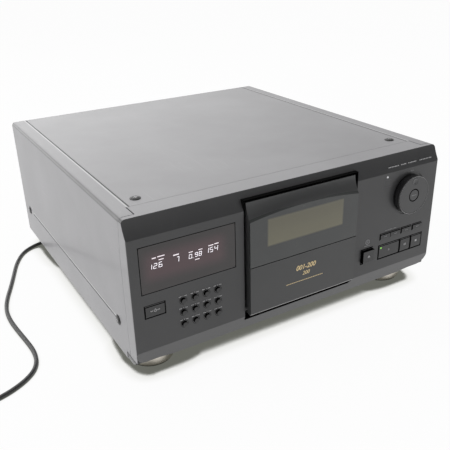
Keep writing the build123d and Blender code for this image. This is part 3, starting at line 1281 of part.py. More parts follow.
with BuildPart() as plug_blades:
    with BuildSketch(facing(BLADE_Y)):
        with Locations((PLUG_X - 6.35, PLUG_Z), (PLUG_X + 6.35, PLUG_Z)):
            Rectangle(1.5, 6.3)
    extrude(amount=-17)
keep(plug_blades.part, "plug_blades")
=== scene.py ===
"""Carousel disc changer, dressed for rendering: paints, mouldings, print, display and mains lead.

Metres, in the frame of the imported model: X to the right of someone facing the front, Y to the back, Z up.
"""

import math

import bmesh
import bpy
from mathutils import Matrix, Vector


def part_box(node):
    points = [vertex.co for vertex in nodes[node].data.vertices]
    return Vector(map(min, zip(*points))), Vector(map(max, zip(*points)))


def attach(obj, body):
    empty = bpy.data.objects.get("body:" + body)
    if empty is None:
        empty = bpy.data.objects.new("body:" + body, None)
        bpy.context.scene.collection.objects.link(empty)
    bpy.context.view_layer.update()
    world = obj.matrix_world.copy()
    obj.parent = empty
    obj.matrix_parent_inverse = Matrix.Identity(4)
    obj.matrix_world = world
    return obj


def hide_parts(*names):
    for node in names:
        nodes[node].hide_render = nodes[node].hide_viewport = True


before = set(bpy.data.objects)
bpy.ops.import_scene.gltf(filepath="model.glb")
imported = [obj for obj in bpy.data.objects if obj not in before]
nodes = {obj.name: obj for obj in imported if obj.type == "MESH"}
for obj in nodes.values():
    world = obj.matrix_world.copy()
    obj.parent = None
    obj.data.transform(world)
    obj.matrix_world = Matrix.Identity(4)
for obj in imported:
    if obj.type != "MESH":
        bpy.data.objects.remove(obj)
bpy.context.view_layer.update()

MM = 0.001
FACE_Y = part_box("front_panel")[0].y     # front of the panel
DOOR_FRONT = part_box("door")[0].y
COVER_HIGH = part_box("top_cover")[1]
HALF_WIDTH, COVER_TOP = COVER_HIGH.x, COVER_HIGH.z
LENS_LOW, LENS_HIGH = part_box("display_lens")
PLATE_LOW, PLATE_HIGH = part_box("door_window")
DIAL_LOW, DIAL_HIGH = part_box("jog_dial")
PRINT_THICK = 0.00006                   # silk-screened ink

# ---------------------------------------------------------------- camera
CAMERA_PLACE = Vector((-0.3994, -0.7355, 0.4384))
CAMERA_YAW = math.radians(30.3)         # from straight at the front towards the right
CAMERA_PITCH = math.radians(24.92)      # downwards
CAMERA_ROLL = math.radians(-1.49)
CAMERA_LENS = 49.53
CAMERA_SHIFT = (-0.0079, 0.00624)


def make_camera():
    """Camera at the viewing angle, with its frame turned by the roll about its own axis."""
    ahead = Vector((math.sin(CAMERA_YAW) * math.cos(CAMERA_PITCH),
                    math.cos(CAMERA_YAW) * math.cos(CAMERA_PITCH), -math.sin(CAMERA_PITCH)))
    right = ahead.cross(Vector((0, 0, 1))).normalized()
    up = right.cross(ahead)
    rolled_right = math.cos(CAMERA_ROLL) * right + math.sin(CAMERA_ROLL) * up
    rolled_up = math.cos(CAMERA_ROLL) * up - math.sin(CAMERA_ROLL) * right
    camera = bpy.data.objects.new("camera", bpy.data.cameras.new("camera"))
    turn = Matrix((rolled_right, rolled_up, -ahead)).transposed().to_4x4()
    camera.matrix_world = Matrix.Translation(CAMERA_PLACE) @ turn
    camera.data.lens = CAMERA_LENS
    camera.data.sensor_width = 36.0
    camera.data.shift_x, camera.data.shift_y = CAMERA_SHIFT
    camera.data.clip_end = 60.0
    bpy.context.scene.collection.objects.link(camera)
    bpy.context.scene.camera = camera


make_camera()


# ---------------------------------------------------------------- shader groups
def new_group(name, inputs, outputs):
    """Empty shader group with named value sockets: inputs and outputs are (name, kind, default)."""
    group = bpy.data.node_groups.new(name, "ShaderNodeTree")
    for label, kind, default in inputs:
        socket = group.interface.new_socket(name=label, in_out="INPUT", socket_type=kind)
        if default is not None:
            socket.default_value = default
    for label, kind in outputs:
        group.interface.new_socket(name=label, in_out="OUTPUT", socket_type=kind)
    return group, group.nodes.new("NodeGroupInput"), group.nodes.new("NodeGroupOutput")


def math_node(tree, operation, a, b=None, clamp=False):
    """Math node fed by sockets or numbers; returns its output."""
    node = tree.nodes.new("ShaderNodeMath")
    node.operation = operation
    node.use_clamp = clamp
    for socket, value in zip(node.inputs, (a, b)):
        if value is None:
            continue
        if isinstance(value, (int, float)):
            socket.default_value = value
        else:
            tree.links.new(value, socket)
    return node.outputs[0]


def plus(tree, a, b, clamp=False):
    return math_node(tree, "ADD", a, b, clamp)


def minus(tree, a, b):
    return math_node(tree, "SUBTRACT", a, b)


def times(tree, a, b, clamp=False):
    return math_node(tree, "MULTIPLY", a, b, clamp)


def absolute(tree, value):
    return math_node(tree, "ABSOLUTE", value)


def inverse(tree, mask):
    """1 where the mask is 0, and 0 where it is 1."""
    return minus(tree, 1.0, mask)


def split_axes(tree, vector):
    """X, Y and Z of a vector socket."""
    node = tree.nodes.new("ShaderNodeSeparateXYZ")
    tree.links.new(vector, node.inputs[0])
    return node.outputs


def normal_axes(tree):
    """X, Y and Z of the way a surface faces."""
    return split_axes(tree, tree.nodes.new("ShaderNodeNewGeometry").outputs["Normal"])


def ramp_between(tree, value, low, high):
    """0 below low, 1 above high, smooth between."""
    node = tree.nodes.new("ShaderNodeMapRange")
    node.interpolation_type = "SMOOTHSTEP"
    tree.links.new(value, node.inputs["Value"])
    node.inputs["From Min"].default_value = low
    node.inputs["From Max"].default_value = high
    return node.outputs["Result"]


def noise(tree, vector, scale, detail=3.0, roughness=0.5, distortion=0.0):
    """Noise from 0 to 1; its scale is a number or a socket."""
    node = tree.nodes.new("ShaderNodeTexNoise")
    tree.links.new(vector, node.inputs["Vector"])
    if isinstance(scale, (int, float)):
        node.inputs["Scale"].default_value = scale
    else:
        tree.links.new(scale, node.inputs["Scale"])
    node.inputs["Detail"].default_value = detail
    node.inputs["Roughness"].default_value = roughness
    node.inputs["Distortion"].default_value = distortion
    return node.outputs["Fac"]


def make_grain_group():
    """Fine moulded or sprayed grain: Height for a bump, Tone for a slow change of shade."""
    tree, given, made = new_group(
        "moulded_grain",
        [("Vector", "NodeSocketVector", None), ("Scale", "NodeSocketFloat", 2500.0),
         ("Cloud Scale", "NodeSocketFloat", 14.0)],
        [("Height", "NodeSocketFloat"), ("Tone", "NodeSocketFloat")])
    vector, scale = given.outputs["Vector"], given.outputs["Scale"]
    fine = noise(tree, vector, scale, detail=2.0, roughness=0.6)
    coarse = noise(tree, vector, times(tree, scale, 0.22), detail=1.0)
    cloud = noise(tree, vector, given.outputs["Cloud Scale"], detail=4.0, roughness=0.55)
    height = plus(tree, times(tree, fine, 0.65), times(tree, coarse, 0.35))
    tree.links.new(height, made.inputs["Height"])
    tree.links.new(ramp_between(tree, cloud, 0.3, 0.7), made.inputs["Tone"])
    return tree


SCRATCH_TURNS = (0.35, 1.25, 2.3)       # radians, one for each set of hair scratches


def make_scuff_group():
    """Hair scratches and rubbed patches, each as a mask."""
    tree, given, made = new_group(
        "scuffs",
        [("Vector", "NodeSocketVector", None), ("Scale", "NodeSocketFloat", 9.0),
         ("Amount", "NodeSocketFloat", 0.5)],
        [("Scratch", "NodeSocketFloat"), ("Rub", "NodeSocketFloat")])
    vector, scale, amount = (given.outputs[label] for label in ("Vector", "Scale", "Amount"))
    scratches = 0.0
    for turn in SCRATCH_TURNS:
        mapping = tree.nodes.new("ShaderNodeMapping")
        tree.links.new(vector, mapping.inputs["Vector"])
        mapping.inputs["Rotation"].default_value = (turn * 0.6, turn * 0.35, turn)
        mapping.inputs["Scale"].default_value = (1.0, 0.06, 1.0)
        fine = times(tree, scale, 11.0)
        streak = noise(tree, mapping.outputs["Vector"], fine, detail=1.0, distortion=0.4)
        ridge = absolute(tree, minus(tree, streak, 0.5))
        scratch = inverse(tree, ramp_between(tree, ridge, 0.0, 0.006))
        scratches = math_node(tree, "MAXIMUM", scratches, scratch)
    where = ramp_between(tree, noise(tree, vector, scale, detail=2.0), 0.5, 0.68)
    here = times(tree, where, amount)
    tree.links.new(times(tree, scratches, here, clamp=True), made.inputs["Scratch"])
    rub = noise(tree, vector, times(tree, scale, 2.3), detail=5.0)
    tree.links.new(times(tree, ramp_between(tree, rub, 0.52, 0.75), amount), made.inputs["Rub"])
    return tree


def make_dust_group():
    """Dust that settles where a surface faces up, as a speckled mask."""
    tree, given, made = new_group(
        "settled_dust",
        [("Vector", "NodeSocketVector", None), ("Amount", "NodeSocketFloat", 0.3)],
        [("Mask", "NodeSocketFloat")])
    vector = given.outputs["Vector"]
    upward = ramp_between(tree, normal_axes(tree)["Z"], 0.55, 0.98)
    speck = ramp_between(tree, noise(tree, vector, 900.0, detail=2.0, roughness=0.7), 0.5, 0.72)
    film = noise(tree, vector, 22.0, detail=5.0)
    both = plus(tree, times(tree, speck, 0.5), times(tree, film, 0.5))
    amount = times(tree, times(tree, both, upward), given.outputs["Amount"], clamp=True)
    tree.links.new(amount, made.inputs["Mask"])
    return tree


GRAIN, SCUFFS, DUST = make_grain_group(), make_scuff_group(), make_dust_group()


# ---------------------------------------------------------------- materials
DUST_SHADE = (0.42, 0.41, 0.39)


def new_material(name):
    """Empty material, with its tree and its shader."""
    material = bpy.data.materials.new(name)
    material.use_nodes = True
    return material, material.node_tree, material.node_tree.nodes["Principled BSDF"]


def base_of(material):
    """Tree and shader of a finished material, and the socket that feeds its colour."""
    tree = material.node_tree
    shader = tree.nodes["Principled BSDF"]
    return tree, shader, shader.inputs["Base Color"].links[0].from_socket


def object_vector(tree):
    """The piece's own coordinates."""
    return tree.nodes.new("ShaderNodeTexCoord").outputs["Object"]


def mix_colour(tree, mask, one, other):
    """one where mask is 0, other where it is 1; each a colour or a socket."""
    node = tree.nodes.new("ShaderNodeMix")
    node.data_type = "RGBA"
    tree.links.new(mask, node.inputs["Factor"])
    for socket, value in ((node.inputs["A"], one), (node.inputs["B"], other)):
        if isinstance(value, tuple):
            socket.default_value = (*value, 1.0)
        else:
            tree.links.new(value, socket)
    return node.outputs["Result"]


def place_group(tree, group, vector, **values):
    """A shader group with its own values, such as cloud_scale for the input Cloud Scale."""
    node = tree.nodes.new("ShaderNodeGroup")
    node.node_tree = group
    tree.links.new(vector, node.inputs["Vector"])
    for label, value in values.items():
        node.inputs[label.replace("_", " ").title()].default_value = value
    return node


def add_bump(tree, shader, height, strength, distance):
    """Fine relief from a height."""
    bump = tree.nodes.new("ShaderNodeBump")
    bump.inputs["Strength"].default_value = strength
    bump.inputs["Distance"].default_value = distance
    tree.links.new(height, bump.inputs["Height"])
    tree.links.new(bump.outputs["Normal"], shader.inputs["Normal"])


def rubbed_gloss(tree, marks, roughness):
    """Roughness of a glossy plate, duller where it is rubbed."""
    return plus(tree, roughness, times(tree, marks.outputs["Rub"], 0.15), clamp=True)


def finish_material(name, shade, cloud, roughness, grain=(2500.0, 0.00002), metallic=0.0, scuff=0.3,
                    dust=0.15, worn=None, coat=0.0, ior=1.5, cloud_scale=14.0):
    """Painted, moulded or bare surface: shade drifts to cloud, and scuffs show worn, over a fine grain."""
    material, tree, shader = new_material(name)
    vector = object_vector(tree)
    texture = place_group(tree, GRAIN, vector, scale=grain[0], cloud_scale=cloud_scale)
    marks = place_group(tree, SCUFFS, vector, amount=scuff)
    settled = place_group(tree, DUST, vector, amount=dust)
    worn = worn or tuple(min(1.0, channel * 1.7 + 0.02) for channel in shade)
    colour = mix_colour(tree, texture.outputs["Tone"], shade, cloud)
    colour = mix_colour(tree, marks.outputs["Scratch"], colour, worn)
    colour = mix_colour(tree, settled.outputs["Mask"], colour, DUST_SHADE)
    tree.links.new(colour, shader.inputs["Base Color"])
    rough = plus(tree, times(tree, texture.outputs["Height"], 0.10), roughness - 0.05)
    rough = plus(tree, rough, times(tree, marks.outputs["Rub"], 0.08))
    rough = plus(tree, rough, times(tree, settled.outputs["Mask"], 0.5), clamp=True)
    tree.links.new(rough, shader.inputs["Roughness"])
    height = minus(tree, texture.outputs["Height"], times(tree, marks.outputs["Scratch"], 0.8))
    add_bump(tree, shader, height, 0.6, grain[1])
    shader.inputs["Metallic"].default_value = metallic
    shader.inputs["IOR"].default_value = ior
    shader.inputs["Coat Weight"].default_value = coat
    shader.inputs["Coat Roughness"].default_value = 0.12
    return material


def box_mask(tree, vector, middle, half, soft):
    """1 inside a rectangle of the XZ plane, fading over soft at its edges."""
    axes = split_axes(tree, vector)
    masks = []
    for axis, centre, reach in (("X", middle[0], half[0]), ("Z", middle[1], half[1])):
        away = absolute(tree, minus(tree, axes[axis], centre))
        masks.append(inverse(tree, ramp_between(tree, away, reach - soft, reach + soft)))
    return times(tree, *masks)


def disc_mask(tree, vector, middle, radius, soft):
    """1 inside a circle of the XZ plane."""
    axes = split_axes(tree, vector)
    across, up = minus(tree, axes["X"], middle[0]), minus(tree, axes["Z"], middle[1])
    away = math_node(tree, "SQRT", plus(tree, times(tree, across, across), times(tree, up, up)))
    return inverse(tree, ramp_between(tree, away, radius - soft, radius + soft))


def facing_up_mask(tree):
    """1 where a surface lies flat on top."""
    return ramp_between(tree, normal_axes(tree)["Z"], 0.80, 0.97)


def facing_down_mask(tree):
    """1 where a bevel looks down at the floor, for a painted reflection of it."""
    return ramp_between(tree, times(tree, normal_axes(tree)["Z"], -1.0), 0.15, 0.75)


def line_mask(tree, socket, place, half, soft):
    """1 where the absolute coordinate is within half of place."""
    away = absolute(tree, minus(tree, absolute(tree, socket), place))
    return inverse(tree, ramp_between(tree, away, half - soft, half + soft))


PORT_MIDDLE = (0.0, 0.14625)
PORT_HALF = (0.0533, 0.01625)
PORT_SOFT = 0.0014
PORT_FOOT, PORT_HEAD = (0.215, 0.200, 0.125), (0.175, 0.163, 0.104)


def window_plate_material():
    """Smoked plate of the door: glossy grey-green, with the tinted port that shows the discs."""
    material, tree, shader = new_material("smoked_plate")
    vector = object_vector(tree)
    texture = place_group(tree, GRAIN, vector, scale=700.0, cloud_scale=18.0)
    marks = place_group(tree, SCUFFS, vector, amount=0.25)
    plain = mix_colour(tree, texture.outputs["Tone"], (0.040, 0.044, 0.044), (0.048, 0.052, 0.051))
    port_low, port_high = PORT_MIDDLE[1] - PORT_HALF[1], PORT_MIDDLE[1] + PORT_HALF[1]
    climb = ramp_between(tree, split_axes(tree, vector)["Z"], port_low, port_high)
    tint = mix_colour(tree, climb, PORT_FOOT, PORT_HEAD)
    colour = mix_colour(tree, box_mask(tree, vector, PORT_MIDDLE, PORT_HALF, PORT_SOFT), plain, tint)
    colour = mix_colour(tree, marks.outputs["Scratch"], colour, (0.16, 0.16, 0.155))
    tree.links.new(colour, shader.inputs["Base Color"])
    tree.links.new(rubbed_gloss(tree, marks, 0.07), shader.inputs["Roughness"])
    add_bump(tree, shader, texture.outputs["Height"], 0.2, 0.00001)
    shader.inputs["Coat Weight"].default_value = 0.4
    shader.inputs["Coat Roughness"].default_value = 0.03
    return material


GLOW_MIDDLE = (-0.151, 0.141)
GLOW_HALF = (0.046, 0.0145)
GLOW_SOFT = 0.008
GLOW_OFF, GLOW_ON = (0.008, 0.007, 0.007), (0.040, 0.019, 0.023)


def smoked_lens_material():
    """Dark display lens with the faint warm glow of the lit grid behind it."""
    material, tree, shader = new_material("smoked_lens")
    vector = object_vector(tree)
    texture = place_group(tree, GRAIN, vector, scale=900.0, cloud_scale=20.0)
    marks = place_group(tree, SCUFFS, vector, scale=12.0, amount=0.3)
    colour = mix_colour(tree, texture.outputs["Tone"], (0.046, 0.042, 0.042), (0.052, 0.048, 0.048))
    colour = mix_colour(tree, marks.outputs["Scratch"], colour, (0.16, 0.15, 0.15))
    tree.links.new(colour, shader.inputs["Base Color"])
    lit = box_mask(tree, vector, GLOW_MIDDLE, GLOW_HALF, GLOW_SOFT)
    tree.links.new(mix_colour(tree, lit, GLOW_OFF, GLOW_ON), shader.inputs["Emission Color"])
    shader.inputs["Emission Strength"].default_value = 1.0
    tree.links.new(rubbed_gloss(tree, marks, 0.10), shader.inputs["Roughness"])
    return material


def tube_material():
    """Dark glass of the display tube."""
    material, tree, shader = new_material("tube_glass")
    texture = place_group(tree, GRAIN, object_vector(tree), scale=1800.0, cloud_scale=30.0)
    colour = mix_colour(tree, texture.outputs["Tone"], (0.030, 0.026, 0.025), (0.038, 0.032, 0.031))
    tree.links.new(colour, shader.inputs["Base Color"])
    rough = plus(tree, 0.15, times(tree, texture.outputs["Height"], 0.1))
    tree.links.new(rough, shader.inputs["Roughness"])
    return material


def enamel_material(name):
    """Satin enamel of the cover and the rear panel, a grey lighter than their black paint: a painted sheen.
    """
    return finish_material(name, COVER_SHADE, COVER_CLOUD, 0.40, grain=(ENAMEL_GRAIN, 0.000010), scuff=0.22,
                           dust=0.08, worn=(0.46, 0.46, 0.47), coat=0.2, cloud_scale=ENAMEL_CLOUDS)


def cover_material():
    """Satin enamel with painted shade along the rounded edges, and in the lines stamped in the top and the
    sides a painted shade line with a painted highlight beside it.
    """
    material = enamel_material("cover_satin")
    tree, shader, colour = base_of(material)
    axes = split_axes(tree, object_vector(tree))
    up = normal_axes(tree)["Z"]
    on_top = facing_up_mask(tree)
    on_side = inverse(tree, ramp_between(tree, up, 0.02, 0.10))
    # painted shade along the rounded edges between the top and the sides
    rounded = times(tree, ramp_between(tree, up, 0.08, 0.35), inverse(tree, on_top))
    colour = mix_colour(tree, rounded, colour, COVER_EDGE_SHADE)
    # stamped lines: a painted shade line with a painted highlight beside it
    side_run = times(tree, on_side, line_mask(tree, axes["Y"], 0.0, SIDE_LINE_HALF, 0.001))
    for where, socket, place in ((on_top, axes["X"], TOP_LINE), (side_run, axes["Z"], SIDE_LINE)):
        for centre, soft, shade in ((place + LINE_STEP, 0.0003, GROOVE_HIGHLIGHT), (place, 0.0002, GROOVE_SHADE)):
            line = times(tree, where, line_mask(tree, socket, centre, LINE_HALF, soft))
            colour = mix_colour(tree, line, colour, shade)
    tree.links.new(colour, shader.inputs["Base Color"])
    return material


def panel_material():
    """Front moulding with a painted reflection of the floor on its bevels that look down; its flat top
    flange and its side returns take the cover's grey, a painted sheen.
    """
    material = finish_material("panel_moulding", PANEL_SHADE, PANEL_CLOUD, 0.42, grain=(4200.0, 0.000014),
                               scuff=0.16, dust=0.03, coat=0.25)
    tree, shader, plain = base_of(material)
    vector = object_vector(tree)
    axes = split_axes(tree, vector)
    # painted reflection of the floor on the bevels that look down
    plain = mix_colour(tree, facing_down_mask(tree), plain, PANEL_BEVEL_REFLECTION)
    # painted sheen: the top flange and the side returns take the cover's grey
    texture = place_group(tree, GRAIN, vector, scale=ENAMEL_GRAIN, cloud_scale=ENAMEL_CLOUDS)
    enamel = mix_colour(tree, texture.outputs["Tone"], COVER_SHADE, COVER_CLOUD)
    flange = times(tree, facing_up_mask(tree), ramp_between(tree, axes["Z"], *FLANGE_START))
    side = ramp_between(tree, absolute(tree, axes["X"]), *RETURN_START)
    painted = math_node(tree, "MAXIMUM", flange, side)
    tree.links.new(mix_colour(tree, painted, plain, enamel), shader.inputs["Base Color"])
    return material


def door_material():
    """Door moulding, paler along the bevel that looks down: a painted reflection of the floor."""
    material = finish_material("door_moulding", (0.052, 0.053, 0.054), (0.058, 0.059, 0.060), 0.40,
                               grain=(4200.0, 0.000012), scuff=0.16, dust=0.03, coat=0.25)
    tree, shader, plain = base_of(material)
    tree.links.new(mix_colour(tree, facing_down_mask(tree), plain, DOOR_BEVEL_REFLECTION), shader.inputs["Base Color"])
    return material


def key_material(name, shade, cloud):
    """Satin cap whose sides, down in the well, are painted black as shade and lose their shine."""
    material = finish_material(name, shade, cloud, 0.38, grain=(3600.0, 0.000010), scuff=0.2, dust=0.0)
    tree, shader, plain = base_of(material)
    # painted shade: only the front keeps the cap's colour and shine
    front = ramp_between(tree, times(tree, normal_axes(tree)["Y"], -1.0), 0.55, 0.9)
    tree.links.new(mix_colour(tree, front, WELL_SHADE_BLACK, plain), shader.inputs["Base Color"])
    tree.links.new(times(tree, front, 0.5), shader.inputs["Specular IOR Level"])
    return material


def bead_material():
    """Polished bead with a painted highlight, bright where it looks down and to the right."""
    material = finish_material("rim_highlight", (0.030, 0.030, 0.031), (0.038, 0.038, 0.039), 0.26,
                               grain=(2400.0, 0.000004), scuff=0.2, dust=0.0)
    tree, shader, plain = base_of(material)
    normal = normal_axes(tree)
    turned = minus(tree, times(tree, normal["X"], 0.75), normal["Z"])
    bright = mix_colour(tree, ramp_between(tree, turned, -0.15, 0.40), plain, BEAD_HIGHLIGHT)
    tree.links.new(bright, shader.inputs["Base Color"])
    return material


def dial_material():
    """Gloss rim with a satin face and a brighter finger dimple; the gloss black ring round the satin face
    is a painted dark reflection of its rounded edge.
    """
    material = finish_material("dial_gloss", (0.010, 0.010, 0.011), (0.014, 0.014, 0.015), 0.16,
                               grain=(900.0, 0.000004), scuff=0.3, dust=0.04, coat=0.3)
    tree, shader, plain = base_of(material)
    vector = object_vector(tree)
    depth = split_axes(tree, vector)["Y"]
    face = inverse(tree, ramp_between(tree, depth, DIAL_LOW.y + 0.0002, DIAL_LOW.y + 0.0012))
    dimple = disc_mask(tree, vector, DIMPLE_MIDDLE, DIMPLE_RADIUS, 0.0003)
    # painted shade: outside the satin face the gloss black stands for the dark reflection of its rounded
    # edge
    inner = times(tree, face, disc_mask(tree, vector, DIAL_MIDDLE, DIAL_FLAT, 0.0003))
    colour = mix_colour(tree, inner, plain, DIAL_SHADE)
    colour = mix_colour(tree, dimple, colour, DIMPLE_SHADE)
    tree.links.new(colour, shader.inputs["Base Color"])
    gloss = shader.inputs["Roughness"].links[0].from_socket
    tree.links.new(plus(tree, gloss, times(tree, face, 0.2), clamp=True), shader.inputs["Roughness"])
    return material


def ink_finish(name, shade, cloud):
    """Matt printing ink."""
    return finish_material(name, shade, cloud, 0.5, grain=(5000.0, 0.00001), scuff=0.1, dust=0.0)


def glowing_material(name, colour, strength, rim):
    """Lit segment or lamp, a little dimmer in patches."""
    material, tree, shader = new_material(name)
    texture = place_group(tree, GRAIN, object_vector(tree), scale=3000.0, cloud_scale=160.0)
    shade = mix_colour(tree, texture.outputs["Tone"], colour, rim)
    for label in ("Emission Color", "Base Color"):
        tree.links.new(shade, shader.inputs[label])
    shader.inputs["Emission Strength"].default_value = strength
    shader.inputs["Roughness"].default_value = 0.35
    return material


# the cover's grey is the black enamel lifted to stand in for its sheen: a painted sheen
COVER_SHADE, COVER_CLOUD = (0.285, 0.281, 0.291), (0.318, 0.314, 0.325)
# painted shade on the rounded edges of the cover
COVER_EDGE_SHADE = (0.120, 0.119, 0.121)
ENAMEL_GRAIN, ENAMEL_CLOUDS = 5200.0, 9.0
# painted highlight and painted shade of the stamped lines
GROOVE_HIGHLIGHT, GROOVE_SHADE = (0.52, 0.52, 0.525), (0.010, 0.010, 0.010)
LINE_HALF = 0.0009
LINE_STEP = 2.2 * LINE_HALF             # from the painted shade line to the painted highlight beside it
TOP_LINE, SIDE_LINE = 0.194, 0.062      # from the middle, and above the floor
SIDE_LINE_HALF = 0.1735
PANEL_SHADE, PANEL_CLOUD = (0.049, 0.049, 0.051), (0.055, 0.055, 0.057)
# painted reflection of the floor on the panel's bevel that looks down
PANEL_BEVEL_REFLECTION = (0.190, 0.190, 0.193)
FLANGE_START, RETURN_START = (0.1945, 0.1950), (0.2146, 0.2149)     # where the cover's grey, a painted sheen, fades in on the panel
# painted reflection of the floor on the door's bevel that looks down
DOOR_BEVEL_REFLECTION = (0.34, 0.34, 0.34)
# painted shade on the sides of the key caps
WELL_SHADE_BLACK = (0.002, 0.002, 0.002)
DIAL_MIDDLE = ((DIAL_LOW.x + DIAL_HIGH.x) / 2, (DIAL_LOW.z + DIAL_HIGH.z) / 2)
DIAL_FLAT = 0.0236                      # radius of the satin face inside the gloss rim; outside it, a painted dark reflection of the face's rounded edge
DIMPLE_OUT, DIMPLE_RADIUS = 0.018, 0.0046
DIMPLE_MIDDLE = (DIAL_MIDDLE[0], DIAL_MIDDLE[1] + DIMPLE_OUT)
DIAL_SHADE, DIMPLE_SHADE = (0.050, 0.050, 0.052), (0.085, 0.085, 0.088)
# painted highlight on the dial's bead
BEAD_HIGHLIGHT = (0.72, 0.72, 0.73)

cover_satin, rear_enamel = cover_material(), enamel_material("rear_enamel")
panel_moulding, door_moulding = panel_material(), door_material()
key_moulding = key_material("key_moulding", (0.047, 0.047, 0.048), (0.053, 0.053, 0.054))
round_key_moulding = key_material("round_key_moulding", (0.040, 0.040, 0.041), (0.046, 0.046, 0.047))
push_moulding = finish_material("push_moulding", (0.085, 0.085, 0.088), (0.095, 0.095, 0.098), 0.36,
                                grain=(3600.0, 0.000010), scuff=0.2, dust=0.03)
rim_highlight = bead_material()
# painted shade: flat black for gaps, wells, grooves and seams
shade_black = finish_material("shade_black", (0.003, 0.003, 0.003), (0.005, 0.005, 0.005), 0.9,
                             grain=(2200.0, 0.00006), scuff=0.0, dust=0.0, ior=1.12)
dial_gloss = dial_material()
rim_dark = finish_material("rim_dark", (0.010, 0.010, 0.011), (0.014, 0.014, 0.015), 0.2,
                           grain=(2400.0, 0.000004), scuff=0.1, dust=0.0)
lip_enamel = finish_material("lip_enamel", (0.20, 0.20, 0.203), (0.23, 0.23, 0.233), 0.42,
                             grain=(5200.0, 0.00001), scuff=0.2, dust=0.0)
seam_shade = finish_material("seam_shade", (0.020, 0.020, 0.021), (0.026, 0.026, 0.027), 0.7,
                             grain=(2400.0, 0.000004), scuff=0.0, dust=0.0)
frame_moulding = finish_material("frame_moulding", (0.018, 0.018, 0.019), (0.024, 0.024, 0.025), 0.55,
                                 grain=(1800.0, 0.00003), scuff=0.2, dust=0.1)
zinc_sheet = finish_material("zinc_sheet", (0.52, 0.53, 0.54), (0.62, 0.63, 0.63), 0.34,
                             grain=(600.0, 0.00001), metallic=1.0, scuff=0.5, dust=0.2,
                             worn=(0.75, 0.75, 0.75), cloud_scale=60.0)
champagne = finish_material("champagne_anodised", (0.56, 0.52, 0.465), (0.64, 0.60, 0.54), 0.30,
                            grain=(1500.0, 0.00001), metallic=1.0, scuff=0.35, dust=0.1,
                            worn=(0.8, 0.76, 0.68))
pad_rubber = finish_material("pad_rubber", (0.020, 0.019, 0.018), (0.030, 0.029, 0.027), 0.75,
                             grain=(1200.0, 0.00005), scuff=0.4, dust=0.2)
screw_black = finish_material("screw_black", (0.016, 0.016, 0.016), (0.026, 0.026, 0.026), 0.36,
                              grain=(1800.0, 0.00001), scuff=0.5, dust=0.05, worn=(0.3, 0.3, 0.3))
# painted highlight for the crosses in the screw recesses
screw_cross_highlight = finish_material("screw_cross_highlight", (0.34, 0.34, 0.345), (0.50, 0.50, 0.505), 0.34,
                               grain=(1800.0, 0.00001), metallic=0.4, scuff=0.6, dust=0.0,
                               cloud_scale=420.0)
acetal = finish_material("acetal_white", (0.70, 0.69, 0.66), (0.76, 0.75, 0.72), 0.4,
                         grain=(1500.0, 0.00001), scuff=0.2, dust=0.1)
table_moulding = finish_material("table_moulding", (0.030, 0.030, 0.031), (0.040, 0.040, 0.041), 0.5,
                                 grain=(1500.0, 0.00002), scuff=0.4, dust=0.3)
player_sheet = finish_material("player_sheet", (0.42, 0.42, 0.41), (0.50, 0.50, 0.49), 0.36,
                               grain=(800.0, 0.00001), metallic=1.0, scuff=0.4, dust=0.1, cloud_scale=50.0)
motor_can = finish_material("motor_can", (0.60, 0.60, 0.58), (0.68, 0.68, 0.66), 0.25,
                            grain=(900.0, 0.000008), metallic=1.0, scuff=0.4, dust=0.1)
board_laminate = finish_material("board_laminate", (0.018, 0.090, 0.040), (0.030, 0.120, 0.055), 0.35,
                                 grain=(1100.0, 0.00003), scuff=0.2, dust=0.2, coat=0.4)
sled_moulding = finish_material("sled_moulding", (0.025, 0.025, 0.026), (0.035, 0.035, 0.036), 0.45,
                                grain=(1500.0, 0.00002), scuff=0.3, dust=0.1)
core_steel = finish_material("core_steel", (0.20, 0.19, 0.17), (0.30, 0.28, 0.24), 0.5,
                             grain=(400.0, 0.00004), metallic=0.8, scuff=0.4, dust=0.2, cloud_scale=80.0)
jack_moulding = finish_material("jack_moulding", (0.045, 0.045, 0.045), (0.060, 0.060, 0.060), 0.4,
                                grain=(1500.0, 0.00002), scuff=0.3, dust=0.1)
cord_pvc = finish_material("cord_pvc", (0.030, 0.030, 0.031), (0.040, 0.040, 0.041), 0.42,
                           grain=(900.0, 0.00002), scuff=0.25, dust=0.15)
blade_brass = finish_material("blade_brass", (0.72, 0.58, 0.33), (0.78, 0.64, 0.40), 0.25,
                              grain=(700.0, 0.00001), metallic=1.0, scuff=0.6, dust=0.05)
pale_ink = ink_finish("pale_ink", (0.30, 0.30, 0.31), (0.36, 0.36, 0.37))
bright_ink = ink_finish("bright_ink", (0.62, 0.62, 0.63), (0.70, 0.70, 0.71))
gold_ink = finish_material("gold_ink", (0.86, 0.66, 0.34), (0.92, 0.74, 0.42), 0.38,
                           grain=(5000.0, 0.00001), metallic=0.25, scuff=0.1, dust=0.0)
dim_ink = ink_finish("dim_ink", (0.085, 0.085, 0.088), (0.10, 0.10, 0.103))
# painted highlight on the edge under the door's smoked plate
faint_edge_highlight = ink_finish("faint_edge_highlight", (0.12, 0.12, 0.12), (0.15, 0.15, 0.15))
window_plate = window_plate_material()
smoked_lens = smoked_lens_material()
tube_glass = tube_material()
digit_glow = glowing_material("digit_glow", (0.90, 0.88, 0.92), 1.1, (0.80, 0.76, 0.82))
bar_glow = glowing_material("bar_glow", (0.88, 0.82, 0.86), 0.7, (0.78, 0.70, 0.75))
green_glow = glowing_material("green_glow", (0.24, 0.66, 0.09), 0.6, (0.18, 0.52, 0.06))
white_lamp = glowing_material("white_lamp", (0.85, 0.85, 0.86), 0.35, (0.76, 0.76, 0.77))

